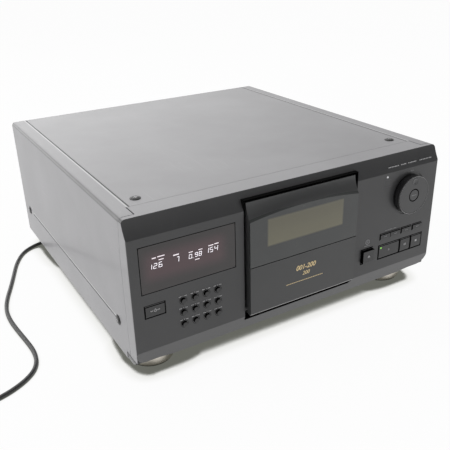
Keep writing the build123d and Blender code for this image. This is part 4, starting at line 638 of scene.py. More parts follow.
NODE_FINISH = {
    "top_cover": cover_satin, "front_panel": panel_moulding, "door": door_moulding,
    "door_window": window_plate, "display_lens": smoked_lens, "display_tube": tube_glass,
    "front_frame": frame_moulding, "base_chassis": zinc_sheet, "rear_panel": rear_enamel,
    "feet": champagne, "foot_pads": pad_rubber, "cover_screws": screw_black, "jog_dial": dial_gloss,
    "jog_push": push_moulding, "status_lamp": white_lamp, "play_lamp": green_glow,
    "control_boards": board_laminate, "main_board": board_laminate, "carousel_table": table_moulding,
    "disc_comb": table_moulding, "drive_gear": acetal, "table_motor": motor_can, "table_glides": acetal,
    "player_frame": player_sheet, "guide_rods": player_sheet, "disc_spindle": acetal,
    "spindle_motor": motor_can, "pickup_sled": sled_moulding, "clamp_arm": sled_moulding,
    "loading_lever": acetal, "damper_gear": acetal, "damper_housing": sled_moulding,
    "rear_jacks": jack_moulding, "transformer": core_steel, "cord_bush": cord_pvc,
    "cord_coil": cord_pvc, "power_cord": cord_pvc, "plug_body": cord_pvc, "plug_blades": blade_brass,
}


for name, node in nodes.items():
    cap_finish = round_key_moulding if name.startswith("key_") else key_moulding
    node.data.materials.clear()
    node.data.materials.append(NODE_FINISH.get(name, cap_finish))


# ---------------------------------------------------------------- making pieces
def add_piece(name, shape, material, body, smooth=False):
    """Turn a finished bmesh into a piece that rides on a body."""
    bmesh.ops.remove_doubles(shape, verts=shape.verts, dist=1e-7)
    bmesh.ops.recalc_face_normals(shape, faces=shape.faces)
    mesh = bpy.data.meshes.new(name)
    shape.to_mesh(mesh)
    shape.free()
    mesh.materials.append(material)
    if smooth:
        mesh.shade_smooth()
    piece = bpy.data.objects.new(name, mesh)
    bpy.context.scene.collection.objects.link(piece)
    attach(piece, body)


def add_panel_piece(name, shape, material):
    """Add a piece that stays on the front panel."""
    add_piece(name, shape, material, "cabinet")


def block(shape, low, high, slant=0.0):
    """Box between two corners, leaning by slant of its height along X."""
    low, high = Vector(low), Vector(high)
    lean = Matrix.Identity(4)
    lean[0][2] = slant
    place = Matrix.Translation((low + high) / 2) @ lean @ Matrix.Diagonal((*(high - low), 1.0))
    bmesh.ops.create_cube(shape, size=1.0, matrix=place)


def ink_bar(shape, x0, x1, z0, z1, front, slant=0.0):
    """Printed bar on a face that looks along -Y at depth front."""
    block(shape, (x0, front - PRINT_THICK, z0), (x1, front, z1), slant=slant)


def ink_number(shape, text, middle_x, low_z, height, front, slant=0.0, bold=0.0):
    """Printed figures, made of the built-in face and stood up on the front."""
    curve = bpy.data.curves.new("figures", "FONT")
    curve.body = text
    curve.align_x = "CENTER"
    curve.size = height / 0.7
    curve.shear = slant
    curve.offset = bold
    curve.extrude = PRINT_THICK / 2
    writing = bpy.data.objects.new("figures", curve)
    bpy.context.scene.collection.objects.link(writing)
    bpy.context.view_layer.update()
    flat = bpy.data.meshes.new_from_object(writing)
    place = Matrix.Translation((middle_x, front - PRINT_THICK / 2, low_z))
    flat.transform(place @ Matrix.Rotation(math.pi / 2, 4, "X"))
    shape.from_mesh(flat)
    bpy.data.objects.remove(writing)
    bpy.data.meshes.remove(flat)


# ---------------------------------------------------------------- mains lead
CORD_DIAMETER = 0.005
LIE = CORD_DIAMETER / 2
CORD_EXIT = (-0.120, 0.2305, 0.045)
CORD_POINTS = [
    CORD_EXIT, (-0.120, 0.252, 0.045), (-0.122, 0.276, 0.034), (-0.128, 0.296, 0.014),
    (-0.142, 0.311, LIE), (-0.162, 0.310, LIE), (-0.176, 0.294, LIE), (-0.179, 0.268, LIE),
    (-0.174, 0.238, LIE), (-0.181, 0.212, LIE), (-0.199, 0.196, LIE), (-0.221, 0.190, LIE),
    (-0.242, 0.174, LIE), (-0.259, 0.143, LIE), (-0.272, 0.106, LIE), (-0.283, 0.076, LIE),
    (-0.295, 0.046, LIE), (-0.3025, 0.019, LIE), (-0.304, -0.009, LIE), (-0.3015, -0.038, LIE),
    (-0.298, -0.066, LIE), (-0.2955, -0.092, LIE), (-0.2975, -0.113, LIE), (-0.304, -0.129, LIE),
    (-0.314, -0.140, LIE), (-0.327, -0.149, LIE), (-0.344, -0.1565, LIE), (-0.366, -0.161, LIE),
]
COIL_MIDDLE = Vector((-0.398, -0.133, 0.0))
COIL_TURNS = 4.25
POINTS_PER_TURN = 16
# turns wound so far, radius and height of the lead's middle
COIL_STATIONS = ((0.0, 30.8, 2.5), (0.85, 30.8, 2.5), (1.05, 25.4, 2.5), (1.6, 25.4, 2.5),
                 (1.85, 28.1, 7.6), (2.55, 28.1, 7.6), (2.8, 23.0, 7.6), (3.3, 23.0, 7.6),
                 (3.5, 26.0, 12.7), (4.25, 27.5, 12.7))
TAIL_RISE = ((12.0, 12.7), (23.0, 11.6), (32.0, 8.8), (44.0, 8.0))


def wound(turn):
    """Radius and height of the coiled lead after so many turns."""
    for (t0, r0, z0), (t1, r1, z1) in zip(COIL_STATIONS, COIL_STATIONS[1:]):
        if turn <= t1 + 1e-9:
            share = (turn - t0) / (t1 - t0)
            share = share * share * (3 - 2 * share)
            return (r0 + (r1 - r0) * share) * MM, (z0 + (z1 - z0) * share) * MM
    return COIL_STATIONS[-1][1] * MM, COIL_STATIONS[-1][2] * MM


def make_cord():
    """Mains lead: along the floor, wound into a small coil, and up to its plug."""
    points = [Vector(point) for point in CORD_POINTS]
    steps = int(COIL_TURNS * POINTS_PER_TURN)
    for step in range(steps + 1):
        radius, height = wound(COIL_TURNS * step / steps)
        angle = -math.pi / 2 - 2 * math.pi * COIL_TURNS * step / steps
        points.append(COIL_MIDDLE + Vector((radius * math.cos(angle), radius * math.sin(angle), height)))
    west = COIL_MIDDLE.x - COIL_STATIONS[-1][1] * MM
    points += [Vector((west, COIL_MIDDLE.y + along * MM, height * MM)) for along, height in TAIL_RISE]
    curve = bpy.data.curves.new("mains_lead", "CURVE")
    curve.dimensions = "3D"
    spline = curve.splines.new("NURBS")
    spline.points.add(len(points) - 1)
    for control, point in zip(spline.points, points):
        control.co = (*point, 1.0)
    spline.order_u = 3
    spline.use_endpoint_u = True
    spline.resolution_u = 6
    curve.bevel_depth = CORD_DIAMETER / 2
    curve.bevel_resolution = 4
    curve.use_fill_caps = True
    curve.materials.append(cord_pvc)
    cord = bpy.data.objects.new("mains_lead", curve)
    bpy.context.scene.collection.objects.link(cord)
    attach(cord, "cabinet")
    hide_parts("power_cord", "cord_coil")
    return cord


mains_lead = make_cord()


def lathe(profile, axis_point, axis, turns=48):
    """bmesh of a closed ring swept round an axis; profile is (radius, along) pairs in metres."""
    shape = bmesh.new()
    axis = Vector(axis).normalized()
    side = axis.orthogonal().normalized()
    origin = Vector(axis_point)
    corners = [shape.verts.new(origin + side * radius + axis * along) for radius, along in profile]
    edges = [shape.edges.new(pair) for pair in zip(corners, corners[1:])]
    bmesh.ops.spin(shape, geom=corners + edges, cent=origin, axis=axis, angle=2 * math.pi, steps=turns,
                   use_merge=True)
    bmesh.ops.remove_doubles(shape, verts=shape.verts, dist=1e-7)
    return shape


RELIEF_LENGTH = 0.030
RELIEF_RIBS = 5
RELIEF_RADII = (0.0047, 0.0032)         # at the bush and at its far end


def make_relief():
    """Ribbed, tapered sleeve that keeps the lead from kinking where it leaves the bush."""
    start, end = RELIEF_RADII
    profile = [(LIE - 0.0002, 0.0), (start, 0.0)]
    for rib in range(RELIEF_RIBS):
        radius = start + (end - start) * rib / RELIEF_RIBS
        low = RELIEF_LENGTH * (rib + 0.15) / RELIEF_RIBS
        profile += [(radius, low), (radius, low + 0.0032), (radius - 0.0008, low + 0.0037),
                    (radius - 0.0008, low + 0.0056)]
    profile += [(end, RELIEF_LENGTH), (LIE - 0.0002, RELIEF_LENGTH + 0.0006)]
    sleeve = lathe(profile, CORD_EXIT, (0, 1, -0.05), turns=32)
    add_piece("lead_relief", sleeve, cord_pvc, "cabinet")


make_relief()


# ---------------------------------------------------------------- display
SEGMENTS = {"0": "abcdef", "1": "bc", "2": "abged", "4": "fgbc", "5": "afgcd", "6": "afgedc", "7": "abc",
            "8": "abcdefg", "9": "abcdfg"}
DIGIT_SLANT = 0.12
SEGMENT_WEIGHT = 0.00054
POINT = (-0.1434, -0.1427, 0.1386, 0.1393)
GLYPH_FRONT = LENS_LOW.y - 0.00002


def segment_digit(shape, figure, x0, x1, z0, z1):
    """Seven-segment figure in the box given."""
    weight, half = SEGMENT_WEIGHT, (z0 + z1) / 2
    gap = weight * 0.25
    places = {
        "a": (x0 + weight, x1 - weight, z1 - weight, z1), "d": (x0 + weight, x1 - weight, z0, z0 + weight),
        "g": (x0 + weight, x1 - weight, half - weight / 2, half + weight / 2),
        "f": (x0, x0 + weight, half + gap, z1 - gap), "b": (x1 - weight, x1, half + gap, z1 - gap),
        "e": (x0, x0 + weight, z0 + gap, half - gap), "c": (x1 - weight, x1, z0 + gap, half - gap),
    }
    for letter in SEGMENTS[figure]:
        sx0, sx1, sz0, sz1 = places[letter]
        lean = DIGIT_SLANT * ((sz0 + sz1) / 2 - half)
        ink_bar(shape, sx0 + lean, sx1 + lean, sz0, sz1, GLYPH_FRONT, slant=DIGIT_SLANT)


# figure, left, right, bottom, top (mm)
FIGURES = (("1", -191.6, -189.6, 139.0, 144.4), ("2", -187.9, -183.9, 139.0, 144.8),
           ("6", -182.0, -178.0, 139.1, 144.9), ("7", -161.8, -158.9, 139.3, 145.2),
           ("0", -147.6, -144.0, 138.6, 143.7), ("9", -140.6, -137.2, 138.9, 143.9),
           ("8", -135.9, -132.4, 138.9, 143.9), ("1", -126.0, -124.0, 139.3, 144.9),
           ("5", -122.7, -118.7, 139.3, 145.0), ("4", -117.0, -112.9, 139.4, 145.1))
# short flags over and under the figures (mm)
FLAGS = ((-165.4, -158.9, 147.2, 148.4), (-189.0, -184.6, 150.3, 151.5), (-183.0, -174.9, 150.7, 151.8),
         (-181.7, -176.2, 147.1, 148.1), (-147.6, -142.8, 145.6, 146.5), (-136.1, -131.4, 145.7, 146.6),
         (-140.6, -135.3, 135.3, 136.2), (-124.2, -118.2, 146.9, 147.9), (-116.9, -111.8, 147.2, 148.3))


def make_display():
    """Lit figures, their point, and the flags over and under them."""
    digits = bmesh.new()
    for figure, *box in FIGURES:
        segment_digit(digits, figure, *(side * MM for side in box))
    ink_bar(digits, *POINT, GLYPH_FRONT)
    add_piece("display_digits", digits, digit_glow, "cabinet")
    flags = bmesh.new()
    for box in FLAGS:
        ink_bar(flags, *(side * MM for side in box), GLYPH_FRONT)
    add_piece("display_flags", flags, bar_glow, "cabinet")


make_display()


# ---------------------------------------------------------------- print on the panel and the keys
def box_middle(name):
    """Middle of a node's box, and how far forward it reaches."""
    low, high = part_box(name)
    return (low + high) / 2, low.y


ROUND_KEYS = [f"key_{number:02d}" for number in range(1, 13)]
KEY_LABEL_LIFT = 0.0046                 # of the label's foot over the key's middle
KEY_LABEL_HALF = 0.0050
KEY_FIGURE_HEIGHT, KEY_FIGURE_HALF = 0.0018, 0.0018


def make_key_labels():
    """A plain number between two short dashes above each round key."""
    ink = bmesh.new()
    for number, name in enumerate(ROUND_KEYS, start=1):
        middle, _ = box_middle(name)
        low = middle.z + KEY_LABEL_LIFT
        ink_number(ink, str(number), middle.x, low - 0.0002, KEY_FIGURE_HEIGHT, FACE_Y)
        for side in (-1, 1):
            x0, x1 = sorted((middle.x + side * KEY_FIGURE_HALF, middle.x + side * KEY_LABEL_HALF))
            dashes(ink, x0, x1, low + 0.0007, 0.0009, FACE_Y, 3, share=0.7)
    add_panel_piece("key_labels", ink, bright_ink)


def dashes(shape, x0, x1, z, height, front, count, share=0.72):
    """Row of short dashes that fills x0 to x1."""
    pitch = (x1 - x0) / count
    for number in range(count):
        start = x0 + pitch * number
        ink_bar(shape, start, start + pitch * share, z - height / 2, z + height / 2, front)


def outline(shape, low, high, front, left, top, right, bottom):
    """Flat frame round a rectangle (x, z), with its own width on each side."""
    (x0, z0), (x1, z1) = low, high
    west, east, foot, head = x0 - left, x1 + right, z0 - bottom, z1 + top
    for width, bar in ((left, (west, x0, foot, head)), (right, (x1, east, foot, head)),
                       (top, (west, east, z1, head)), (bottom, (west, east, foot, z0))):
        if width:
            ink_bar(shape, *bar, front)


# left, right, height above the floor, thickness, number of dashes and their share of the pitch
PANEL_MARKS = ((0.1320, 0.1395, 0.0978, 0.0005, 1, 1.0), (0.1442, 0.1515, 0.0978, 0.0005, 1, 1.0),
               (0.1400, 0.1437, 0.0978, 0.0011, 3, 0.72), (0.1662, 0.1728, 0.1714, 0.0009, 5, 0.72))
BAND_HEIGHT = 0.1826
BAND_FRONT = FACE_Y + 0.00085           # the curved band at that height
# left and right of each group of dashes on the band, and their number
BAND_GROUPS = ((0.1290, 0.1470, 7), (0.1500, 0.1590, 4), (0.1620, 0.1765, 6), (0.1815, 0.2030, 8))
SENSOR_LOW, SENSOR_HIGH = (0.1240, 0.1580), (0.1350, 0.1670)
SENSOR_LINE = 0.0005


def make_panel_marks():
    """Lines over the mode keys, the mark over the dial, the band's dashes and the sensor's outline."""
    ink = bmesh.new()
    for x0, x1, z, height, count, share in PANEL_MARKS:
        dashes(ink, x0, x1, z, height, FACE_Y, count, share=share)
    add_panel_piece("panel_marks", ink, pale_ink)
    fine = bmesh.new()
    for x0, x1, count in BAND_GROUPS:
        dashes(fine, x0, x1, BAND_HEIGHT, 0.0012, BAND_FRONT, count, share=0.66)
    add_panel_piece("band_dashes", fine, bright_ink)
    sensor = bmesh.new()
    outline(sensor, SENSOR_LOW, SENSOR_HIGH, FACE_Y, *[SENSOR_LINE] * 4)
    add_panel_piece("sensor_outline", sensor, dim_ink)


make_key_labels()
make_panel_marks()


def triangle(shape, tip, width, height, front, up=False):
    """Filled triangle that points along +X, or up."""
    if up:
        flat = [(tip[0] - width / 2, tip[1] - height), (tip[0] + width / 2, tip[1] - height), tip]
    else:
        flat = [(tip[0] - width, tip[1] - height / 2), tip, (tip[0] - width, tip[1] + height / 2)]
    face = shape.faces.new([shape.verts.new((x, front - PRINT_THICK, z)) for x, z in flat])
    grown = bmesh.ops.extrude_face_region(shape, geom=[face])["geom"]
    bmesh.ops.translate(shape, verts=[part for part in grown if isinstance(part, bmesh.types.BMVert)],
                        vec=(0, PRINT_THICK, 0))


def ring(shape, middle, inner, outer, front, gap_angle=0.0, steps=28):
    """Flat ring on the front, open for gap_angle at its top."""
    start = math.pi / 2 + gap_angle / 2
    corners = [Vector((middle[0] + radius * math.cos(start), depth, middle[1] + radius * math.sin(start)))
               for radius, depth in ((inner, front - PRINT_THICK), (outer, front - PRINT_THICK),
                                     (outer, front), (inner, front))]
    face = shape.faces.new([shape.verts.new(corner) for corner in corners])
    bmesh.ops.spin(shape, geom=[face, *face.edges, *face.verts], cent=(middle[0], front, middle[1]),
                   axis=(0, -1, 0), angle=2 * math.pi - gap_angle, steps=steps, use_merge=gap_angle == 0.0)


def make_key_symbols():
    """Symbols on the keys; each rides on its own cap."""
    for name, draw in (("power_key", power_symbol), ("play_key", play_symbol), ("pause_key", pause_symbol),
                       ("stop_key", stop_symbol), ("open_key", open_symbol)):
        middle, front = box_middle(name)
        ink = bmesh.new()
        draw(ink, middle, front)
        add_piece(f"{name}_symbol", ink, pale_ink if name == "play_key" else bright_ink, f"{name}_cap")
    for number in range(1, 5):
        middle, front = box_middle(f"mode_key_{number}")
        ink = bmesh.new()
        dashes(ink, middle.x - 0.0026, middle.x + 0.0026, middle.z, 0.0009, front, 2 + number % 3)
        add_piece(f"mode_key_{number}_mark", ink, pale_ink, f"mode_key_{number}_cap")


def power_symbol(ink, middle, front):
    """Open ring with a bar through its gap, between two rows of dashes."""
    ring(ink, (middle.x, middle.z), 0.0012, 0.0017, front, gap_angle=math.radians(70))
    ink_bar(ink, middle.x - 0.00025, middle.x + 0.00025, middle.z + 0.0003, middle.z + 0.0021, front)
    for x0 in (middle.x - 0.0055, middle.x + 0.0025):
        dashes(ink, x0, x0 + 0.0030, middle.z, 0.0010, front, 3)


def play_symbol(ink, middle, front):
    """Triangle that points to the right."""
    triangle(ink, (middle.x + 0.0022, middle.z), 0.0036, 0.0034, front)


def pause_symbol(ink, middle, front):
    """Two upright bars."""
    for side in (-1, 1):
        x = middle.x + side * 0.0011
        ink_bar(ink, x - 0.0005, x + 0.0005, middle.z - 0.0015, middle.z + 0.0015, front)


def stop_symbol(ink, middle, front):
    """Filled square."""
    ink_bar(ink, middle.x - 0.0015, middle.x + 0.0015, middle.z - 0.0015, middle.z + 0.0015, front)


def open_symbol(ink, middle, front):
    """Triangle that points up, over a bar."""
    triangle(ink, (middle.x, middle.z + 0.0020), 0.0042, 0.0022, front, up=True)
    ink_bar(ink, middle.x - 0.0021, middle.x + 0.0021, middle.z - 0.0012, middle.z - 0.0006, front)


make_key_symbols()


# ---------------------------------------------------------------- gold print on the door
# figures, their middle, foot and height, and how much bolder they are
GOLD_FIGURES = (("001-200", 0.0005, 0.0866, 0.0060, 0.00022), ("200", 0.0010, 0.0786, 0.0048, 0.00010))
GOLD_SLANT = 0.25
GOLD_LINE_HALF, GOLD_LINE_HEIGHT = 0.027, 0.0717


def make_gold_print():
    """The range and the number of the slots, and a fine line under them."""
    ink = bmesh.new()
    for text, middle, low, height, bold in GOLD_FIGURES:
        ink_number(ink, text, middle, low, height, DOOR_FRONT, slant=GOLD_SLANT, bold=bold)
    dashes(ink, -GOLD_LINE_HALF, GOLD_LINE_HALF, GOLD_LINE_HEIGHT, 0.0010, DOOR_FRONT, 21)
    add_piece("door_gold_print", ink, gold_ink, "door")


make_gold_print()


# ---------------------------------------------------------------- shadow gaps and small trim
OPENING_LOW, OPENING_HIGH = 0.040, 0.188
OPENING_HALF = 0.080
SHADE_SHEET_THICK, SHADE_SHEET_DEPTH = 0.0003, 0.016
PIVOT_CLEAR = 0.058                     # the painted shade starts above the door's pins
FLANGE_BACK = FACE_Y + 0.036            # front edge of the cover
TAB_FRONT = FACE_Y + 0.0156             # and of its two front corners
TAB_INNER = 0.1975
SEAM_WIDTH = 0.0009
SEAM_PROUD, SEAM_SUNK = 0.00004, 0.0002
LENS_GAP = 0.0008
ROUND_SHADE_WIDTH = 0.0003


def make_opening_felt():
    """Painted shade round the inside of the door opening: thin black sheets."""
    shape = bmesh.new()
    front, back = FACE_Y + 0.0002, FACE_Y + SHADE_SHEET_DEPTH
    block(shape, (-OPENING_HALF, FACE_Y + 0.0013, OPENING_LOW),
          (OPENING_HALF, back, OPENING_LOW + SHADE_SHEET_THICK))
    block(shape, (-OPENING_HALF, front, OPENING_HIGH - SHADE_SHEET_THICK), (OPENING_HALF, back, OPENING_HIGH))
    for side in (-1, 1):
        x0, x1 = sorted((side * OPENING_HALF, side * (OPENING_HALF - SHADE_SHEET_THICK)))
        block(shape, (x0, front, PIVOT_CLEAR), (x1, back, OPENING_HIGH))
    add_panel_piece("opening_shade", shape, shade_black)


def make_opening_lip():
    """Shadow line along the lower lip of the door opening."""
    shape = bmesh.new()
    block(shape, (-OPENING_HALF, FACE_Y + 0.0009, OPENING_LOW - 0.0012),
          (OPENING_HALF - 0.004, FACE_Y + 0.0016, OPENING_LOW + 0.0002))
    add_panel_piece("opening_lip", shape, shade_black)


# key, widths of its painted shade to its left, above it, to its right and below it (mm)
KEY_SHADE_WIDTHS = {"power_key": (1.2, 0.6, 1.5, 1.4), "play_key": (1.4, 1.1, 1.8, 1.8),
            "pause_key": (1.2, 1.1, 1.8, 1.8), "stop_key": (1.2, 1.1, 2.0, 1.8),
            "open_key": (1.4, 1.3, 0.0, 1.5), "mode_key_1": (1.0, 0.9, 0.0, 0.0),
            "mode_key_2": (0.4, 0.9, 0.0, 0.0), "mode_key_3": (1.0, 0.9, 0.0, 0.0),
            "mode_key_4": (1.0, 0.9, 0.0, 0.0)}


def make_key_gaps():
    """Painted shade round the keys: flat black bands and rings on the panel, in the wells' shadow."""
    shape = bmesh.new()
    for name, widths in KEY_SHADE_WIDTHS.items():
        low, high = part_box(name)
        outline(shape, (low.x, low.z), (high.x, high.z), FACE_Y, *(width * MM for width in widths))
    for name in ROUND_KEYS:
        low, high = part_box(name)
        radius = (high.x - low.x) / 2
        ring(shape, ((low.x + high.x) / 2, (low.z + high.z) / 2), radius, radius + ROUND_SHADE_WIDTH, FACE_Y)
    add_panel_piece("key_shade_wells", shape, shade_black)


def make_lens_outline():
    """Fine black gap round the display lens, in painted shade."""
    shape = bmesh.new()
    outline(shape, (LENS_LOW.x, LENS_LOW.z), (LENS_HIGH.x, LENS_HIGH.z), FACE_Y, *[LENS_GAP] * 4)
    add_panel_piece("lens_outline", shape, shade_black)


def make_plate_seam():
    """Painted shade in the groove along the lower edge of the door's smoked plate, and a painted highlight
    on the edge under it.
    """
    for name, high, low, ink in (("plate_groove", 0.0, 0.0010, shade_black),
                                 ("plate_edge", 0.0010, 0.0016, faint_edge_highlight)):
        shape = bmesh.new()
        ink_bar(shape, PLATE_LOW.x, PLATE_HIGH.x, PLATE_LOW.z - low, PLATE_LOW.z - high, DOOR_FRONT)
        add_piece(name, shape, ink, "door")


def make_cover_seams():
    """Shadow gaps between the cover and the top flange of the moulded front."""
    shape = bmesh.new()
    low, high = COVER_TOP - SEAM_SUNK, COVER_TOP + SEAM_PROUD
    for side in (-1, 1):
        x0, x1 = sorted((side * TAB_INNER, side * (TAB_INNER - SEAM_WIDTH)))
        block(shape, (x0, TAB_FRONT, low), (x1, FLANGE_BACK, high))
        x0, x1 = sorted((side * TAB_INNER, side * (HALF_WIDTH - 0.004)))
        block(shape, (x0, TAB_FRONT - 0.0004, low), (x1, TAB_FRONT, high))
    add_piece("cover_seams", shape, seam_shade, "cabinet")


SKIRT_FACE = 0.2148
SKIRT_THICK = 0.0004
SKIRT_BACK, SKIRT_TOP = 0.0304, 0.0440
SKIRT_FRONTS = ((-1, 0.0016, 0.0070), (1, 0.0140, 0.0210))   # side, and where its sheet and its lip start
LOW_EDGE = 0.0212                       # under edge of the cover's sides
LOW_SEAM = 0.0300                       # seam over the folded lip below them


def side_sheet(shape, edge, side, face):
    """Thin upright sheet on one side of the cabinet, from the (y, z) corners of its edge."""
    corners = [shape.verts.new((side * (face - SKIRT_THICK), FACE_Y + y, z)) for y, z in edge]
    grown = bmesh.ops.extrude_face_region(shape, geom=[shape.faces.new(corners)])["geom"]
    bmesh.ops.translate(shape, verts=[part for part in grown if isinstance(part, bmesh.types.BMVert)],
                        vec=(side * SKIRT_THICK, 0, 0))


def make_skirts():
    """Lower front corners of the two sides: the sheet that runs up to the panel, and the lip under it."""
    sheets, lips, seams = bmesh.new(), bmesh.new(), bmesh.new()
    for side, sheet_front, lip_front in SKIRT_FRONTS:
        side_sheet(sheets, ((sheet_front, SKIRT_TOP), (sheet_front, 0.0330),
                            (sheet_front + 0.0014, LOW_SEAM), (SKIRT_BACK, LOW_SEAM),
                            (SKIRT_BACK, SKIRT_TOP)), side, SKIRT_FACE)
        side_sheet(lips, ((SKIRT_BACK, LOW_EDGE), (lip_front + 0.0090, LOW_EDGE), (lip_front, 0.0265),
                          (lip_front, LOW_SEAM), (SKIRT_BACK, LOW_SEAM)), side, SKIRT_FACE - 0.0006)
        # painted shade: a black line in the seam over the folded lip
        seam_foot = LOW_SEAM - 0.0006
        side_sheet(seams, ((SKIRT_BACK, seam_foot), (lip_front, seam_foot), (lip_front, LOW_SEAM),
                           (SKIRT_BACK, LOW_SEAM)), side, SKIRT_FACE - 0.0004)
    add_piece("skirt_sheets", sheets, rear_enamel, "cabinet")
    add_piece("skirt_lips", lips, lip_enamel, "cabinet")
    add_piece("skirt_seams", seams, shade_black, "cabinet")


TOP_SCREW_IN, TOP_SCREW_BACK = 0.0354, 0.0538   # from the cover's side and from the panel's front
SIDE_SCREWS_BACK = (0.047, 0.415)
CROSS_REACH, CROSS_BAR, CROSS_RISE = 0.0023, 0.0011, 0.00165


def make_screw_crosses():
    """Painted highlight: a bright cross in the recess of each screw on the top and on the sides."""
    shape = bmesh.new()
    width, reach = CROSS_BAR / 2, CROSS_REACH
    for side in (-1, 1):
        x, y = side * (HALF_WIDTH - TOP_SCREW_IN), FACE_Y + TOP_SCREW_BACK
        for along, across in ((reach, width), (width, reach)):
            block(shape, (x - along, y - across, COVER_TOP),
                  (x + along, y + across, COVER_TOP + CROSS_RISE))
        x0, x1 = sorted((side * HALF_WIDTH, side * (HALF_WIDTH + CROSS_RISE)))
        for back in SIDE_SCREWS_BACK:
            y = FACE_Y + back
            for along, across in ((reach, width), (width, reach)):
                block(shape, (x0, y - along, SIDE_LINE - across), (x1, y + along, SIDE_LINE + across))
    add_piece("screw_crosses", shape, screw_cross_highlight, "cabinet")


DIAL_BEAD = 0.0247
PUSH_GAP = (0.0073, 0.0084)


def lathe_ring(radius, thick, front, middle):
    """Round bead of the given thickness on a face that looks along -Y."""
    steps = 12
    angles = [2 * math.pi * step / steps for step in range(steps + 1)]
    profile = [(radius + thick * math.cos(angle), thick * math.sin(angle)) for angle in angles]
    return lathe(profile, (middle[0], front, middle[1]), (0, -1, 0), turns=72)


def make_dial_trim():
    """Beads round the dial's face, with a painted highlight, and round its dimple, and the black gap round
    its push, in painted shade.
    """
    for name, radius, thick, back, middle, finish in (
            ("dial_bead", DIAL_BEAD, 0.00045, 0.0003, DIAL_MIDDLE, rim_highlight),
            ("dimple_bead", DIMPLE_RADIUS, 0.00022, 0.0001, DIMPLE_MIDDLE, rim_dark)):
        bead = lathe_ring(radius, thick, DIAL_LOW.y + back, middle)
        add_piece(name, bead, finish, "dial", smooth=True)
    gap = bmesh.new()
    ring(gap, DIAL_MIDDLE, *PUSH_GAP, DIAL_LOW.y, steps=56)
    add_piece("push_gap", gap, shade_black, "dial")


def make_disc_mark():
    """Small disc over a row of dashes, above the opening key."""
    ink = bmesh.new()
    middle, _ = box_middle("open_key")
    place = (middle.x - 0.0003, middle.z + 0.0190)
    for inner, outer in ((0.0025, 0.0036), (0.0006, 0.0014)):
        ring(ink, place, inner, outer, FACE_Y)
    dashes(ink, place[0] - 0.0048, place[0] + 0.0048, place[1] - 0.0050, 0.0010, FACE_Y, 4, share=0.8)
    add_panel_piece("disc_mark", ink, pale_ink)


def make_push_mark():
    """Row of dashes on the dial's push."""
    middle, front = box_middle("jog_push")
    ink = bmesh.new()
    dashes(ink, middle.x - 0.0042, middle.x + 0.0042, middle.z, 0.0010, front, 5)
    add_piece("push_mark", ink, pale_ink, "dial_push")


make_opening_felt()
make_opening_lip()
make_key_gaps()
make_lens_outline()
make_plate_seam()
make_cover_seams()
make_skirts()
make_screw_crosses()
make_dial_trim()
make_disc_mark()
make_push_mark()


# ---------------------------------------------------------------- light and surroundings
AMBIENT = 0.60
FRONT_DIM = 0.35                        # of the surroundings in front of the machine
GLOSS_FLOOR, GLOSS_GLARE = 0.05, 1.75   # what a glossy surface sees more, low behind and towards the left


def seen_mask(tree, *outputs):
    """1 for the named kinds of ray."""
    path = tree.nodes.new("ShaderNodeLightPath")
    mask = path.outputs[outputs[0]]
    for output in outputs[1:]:
        mask = math_node(tree, "MAXIMUM", mask, path.outputs[output])
    return mask


def make_world():
    """White surroundings for what sees them, softer as a source of light, and dimmer in front."""
    world = bpy.data.worlds.new("studio")
    bpy.context.scene.world = world
    world.use_nodes = True
    tree = world.node_tree
    background = tree.nodes["Background"]
    background.inputs["Color"].default_value = (1.0, 1.0, 1.0, 1.0)
    direction = split_axes(tree, tree.nodes.new("ShaderNodeTexCoord").outputs["Generated"])
    behind = ramp_between(tree, direction["Y"], -0.75, 0.15)
    around = plus(tree, times(tree, behind, 1.0 - FRONT_DIM), FRONT_DIM)
    low = inverse(tree, ramp_between(tree, direction["Z"], 0.16, 0.62))
    leftward = inverse(tree, ramp_between(tree, direction["X"], 0.05, 0.80))
    glare = plus(tree, times(tree, leftward, GLOSS_GLARE), GLOSS_FLOOR)
    reflected = times(tree, seen_mask(tree, "Is Glossy Ray"), times(tree, low, glare))
    lit = times(tree, around, plus(tree, reflected, AMBIENT))
    strength = math_node(tree, "MAXIMUM", lit, seen_mask(tree, "Is Camera Ray", "Is Transmission Ray"))
    tree.links.new(strength, background.inputs["Strength"])


CONTACT_REACH = 0.034                   # how far out the painted contact shadow runs
FLOOR_RADIUS = 9.0
# painted contact shadow: a grey ring near the machine and a dark patch beneath it
FLOOR_NEAR_SHADE, FLOOR_PAINTED_SHADOW = (0.86, 0.86, 0.84), (0.135, 0.138, 0.120)
LIT_SHARE, SEEN_SHARE = 0.25, 0.96      # how much of the floor shines by itself, as light and when seen
SOFTBOX_SIZE = 1.6


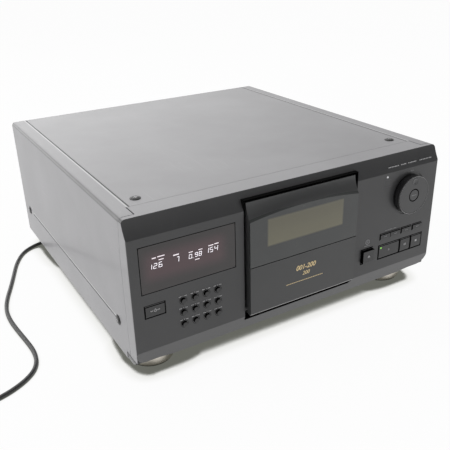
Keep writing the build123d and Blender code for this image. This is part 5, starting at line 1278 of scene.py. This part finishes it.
def make_floor():
    """Plain white floor that keeps the lamps' shadow in its lit share and has a painted contact shadow,
    from ambient occlusion, deepest where the machine stands over it.
    """
    shape = bmesh.new()
    bmesh.ops.create_circle(shape, cap_ends=True, radius=FLOOR_RADIUS, segments=96)
    mesh = bpy.data.meshes.new("floor")
    shape.to_mesh(mesh)
    shape.free()
    material, tree, shader = new_material("floor_white")
    shader.inputs["Base Color"].default_value = (0.80, 0.80, 0.80, 1.0)
    shader.inputs["Roughness"].default_value = 0.9
    shader.inputs["Specular IOR Level"].default_value = 0.0
    contact = tree.nodes.new("ShaderNodeAmbientOcclusion")
    contact.samples = 64
    contact.inputs["Distance"].default_value = CONTACT_REACH
    painted_shadow_mask = inverse(tree, ramp_between(tree, contact.outputs["AO"], 0.47, 0.55))
    open_sky = ramp_between(tree, contact.outputs["AO"], 0.52, 0.85)
    lit = tree.nodes.new("ShaderNodeEmission")
    around = mix_colour(tree, open_sky, FLOOR_NEAR_SHADE, (1.0, 1.0, 1.0))
    tree.links.new(mix_colour(tree, painted_shadow_mask, around, FLOOR_PAINTED_SHADOW), lit.inputs["Color"])
    lit.inputs["Strength"].default_value = 1.0
    blend = tree.nodes.new("ShaderNodeMixShader")
    seen = seen_mask(tree, "Is Camera Ray", "Is Glossy Ray", "Is Transmission Ray")
    tree.links.new(plus(tree, times(tree, seen, SEEN_SHARE - LIT_SHARE), LIT_SHARE), blend.inputs["Fac"])
    tree.links.new(shader.outputs["BSDF"], blend.inputs[1])
    tree.links.new(lit.outputs["Emission"], blend.inputs[2])
    tree.links.new(blend.outputs["Shader"], tree.nodes["Material Output"].inputs["Surface"])
    mesh.materials.append(material)
    floor = bpy.data.objects.new("floor", mesh)
    bpy.context.scene.collection.objects.link(floor)


def soft_light(name, place, aim, power):
    """Square softbox that points at aim."""
    lamp = bpy.data.lights.new(name, "AREA")
    lamp.shape = "SQUARE"
    lamp.size = SOFTBOX_SIZE
    lamp.energy = power
    holder = bpy.data.objects.new(name, lamp)
    towards = (Vector(aim) - Vector(place)).normalized()
    holder.matrix_world = Matrix.Translation(place) @ towards.to_track_quat("-Z", "Y").to_matrix().to_4x4()
    bpy.context.scene.collection.objects.link(holder)


make_world()
make_floor()
soft_light("key_softbox", (-1.9, 0.5, 1.7), (0.0, 0.0, 0.1), 24.0)
soft_light("top_softbox", (0.2, 1.1, 2.0), (0.0, 0.1, 0.1), 14.0)

bpy.context.scene.view_settings.view_transform = "Standard"
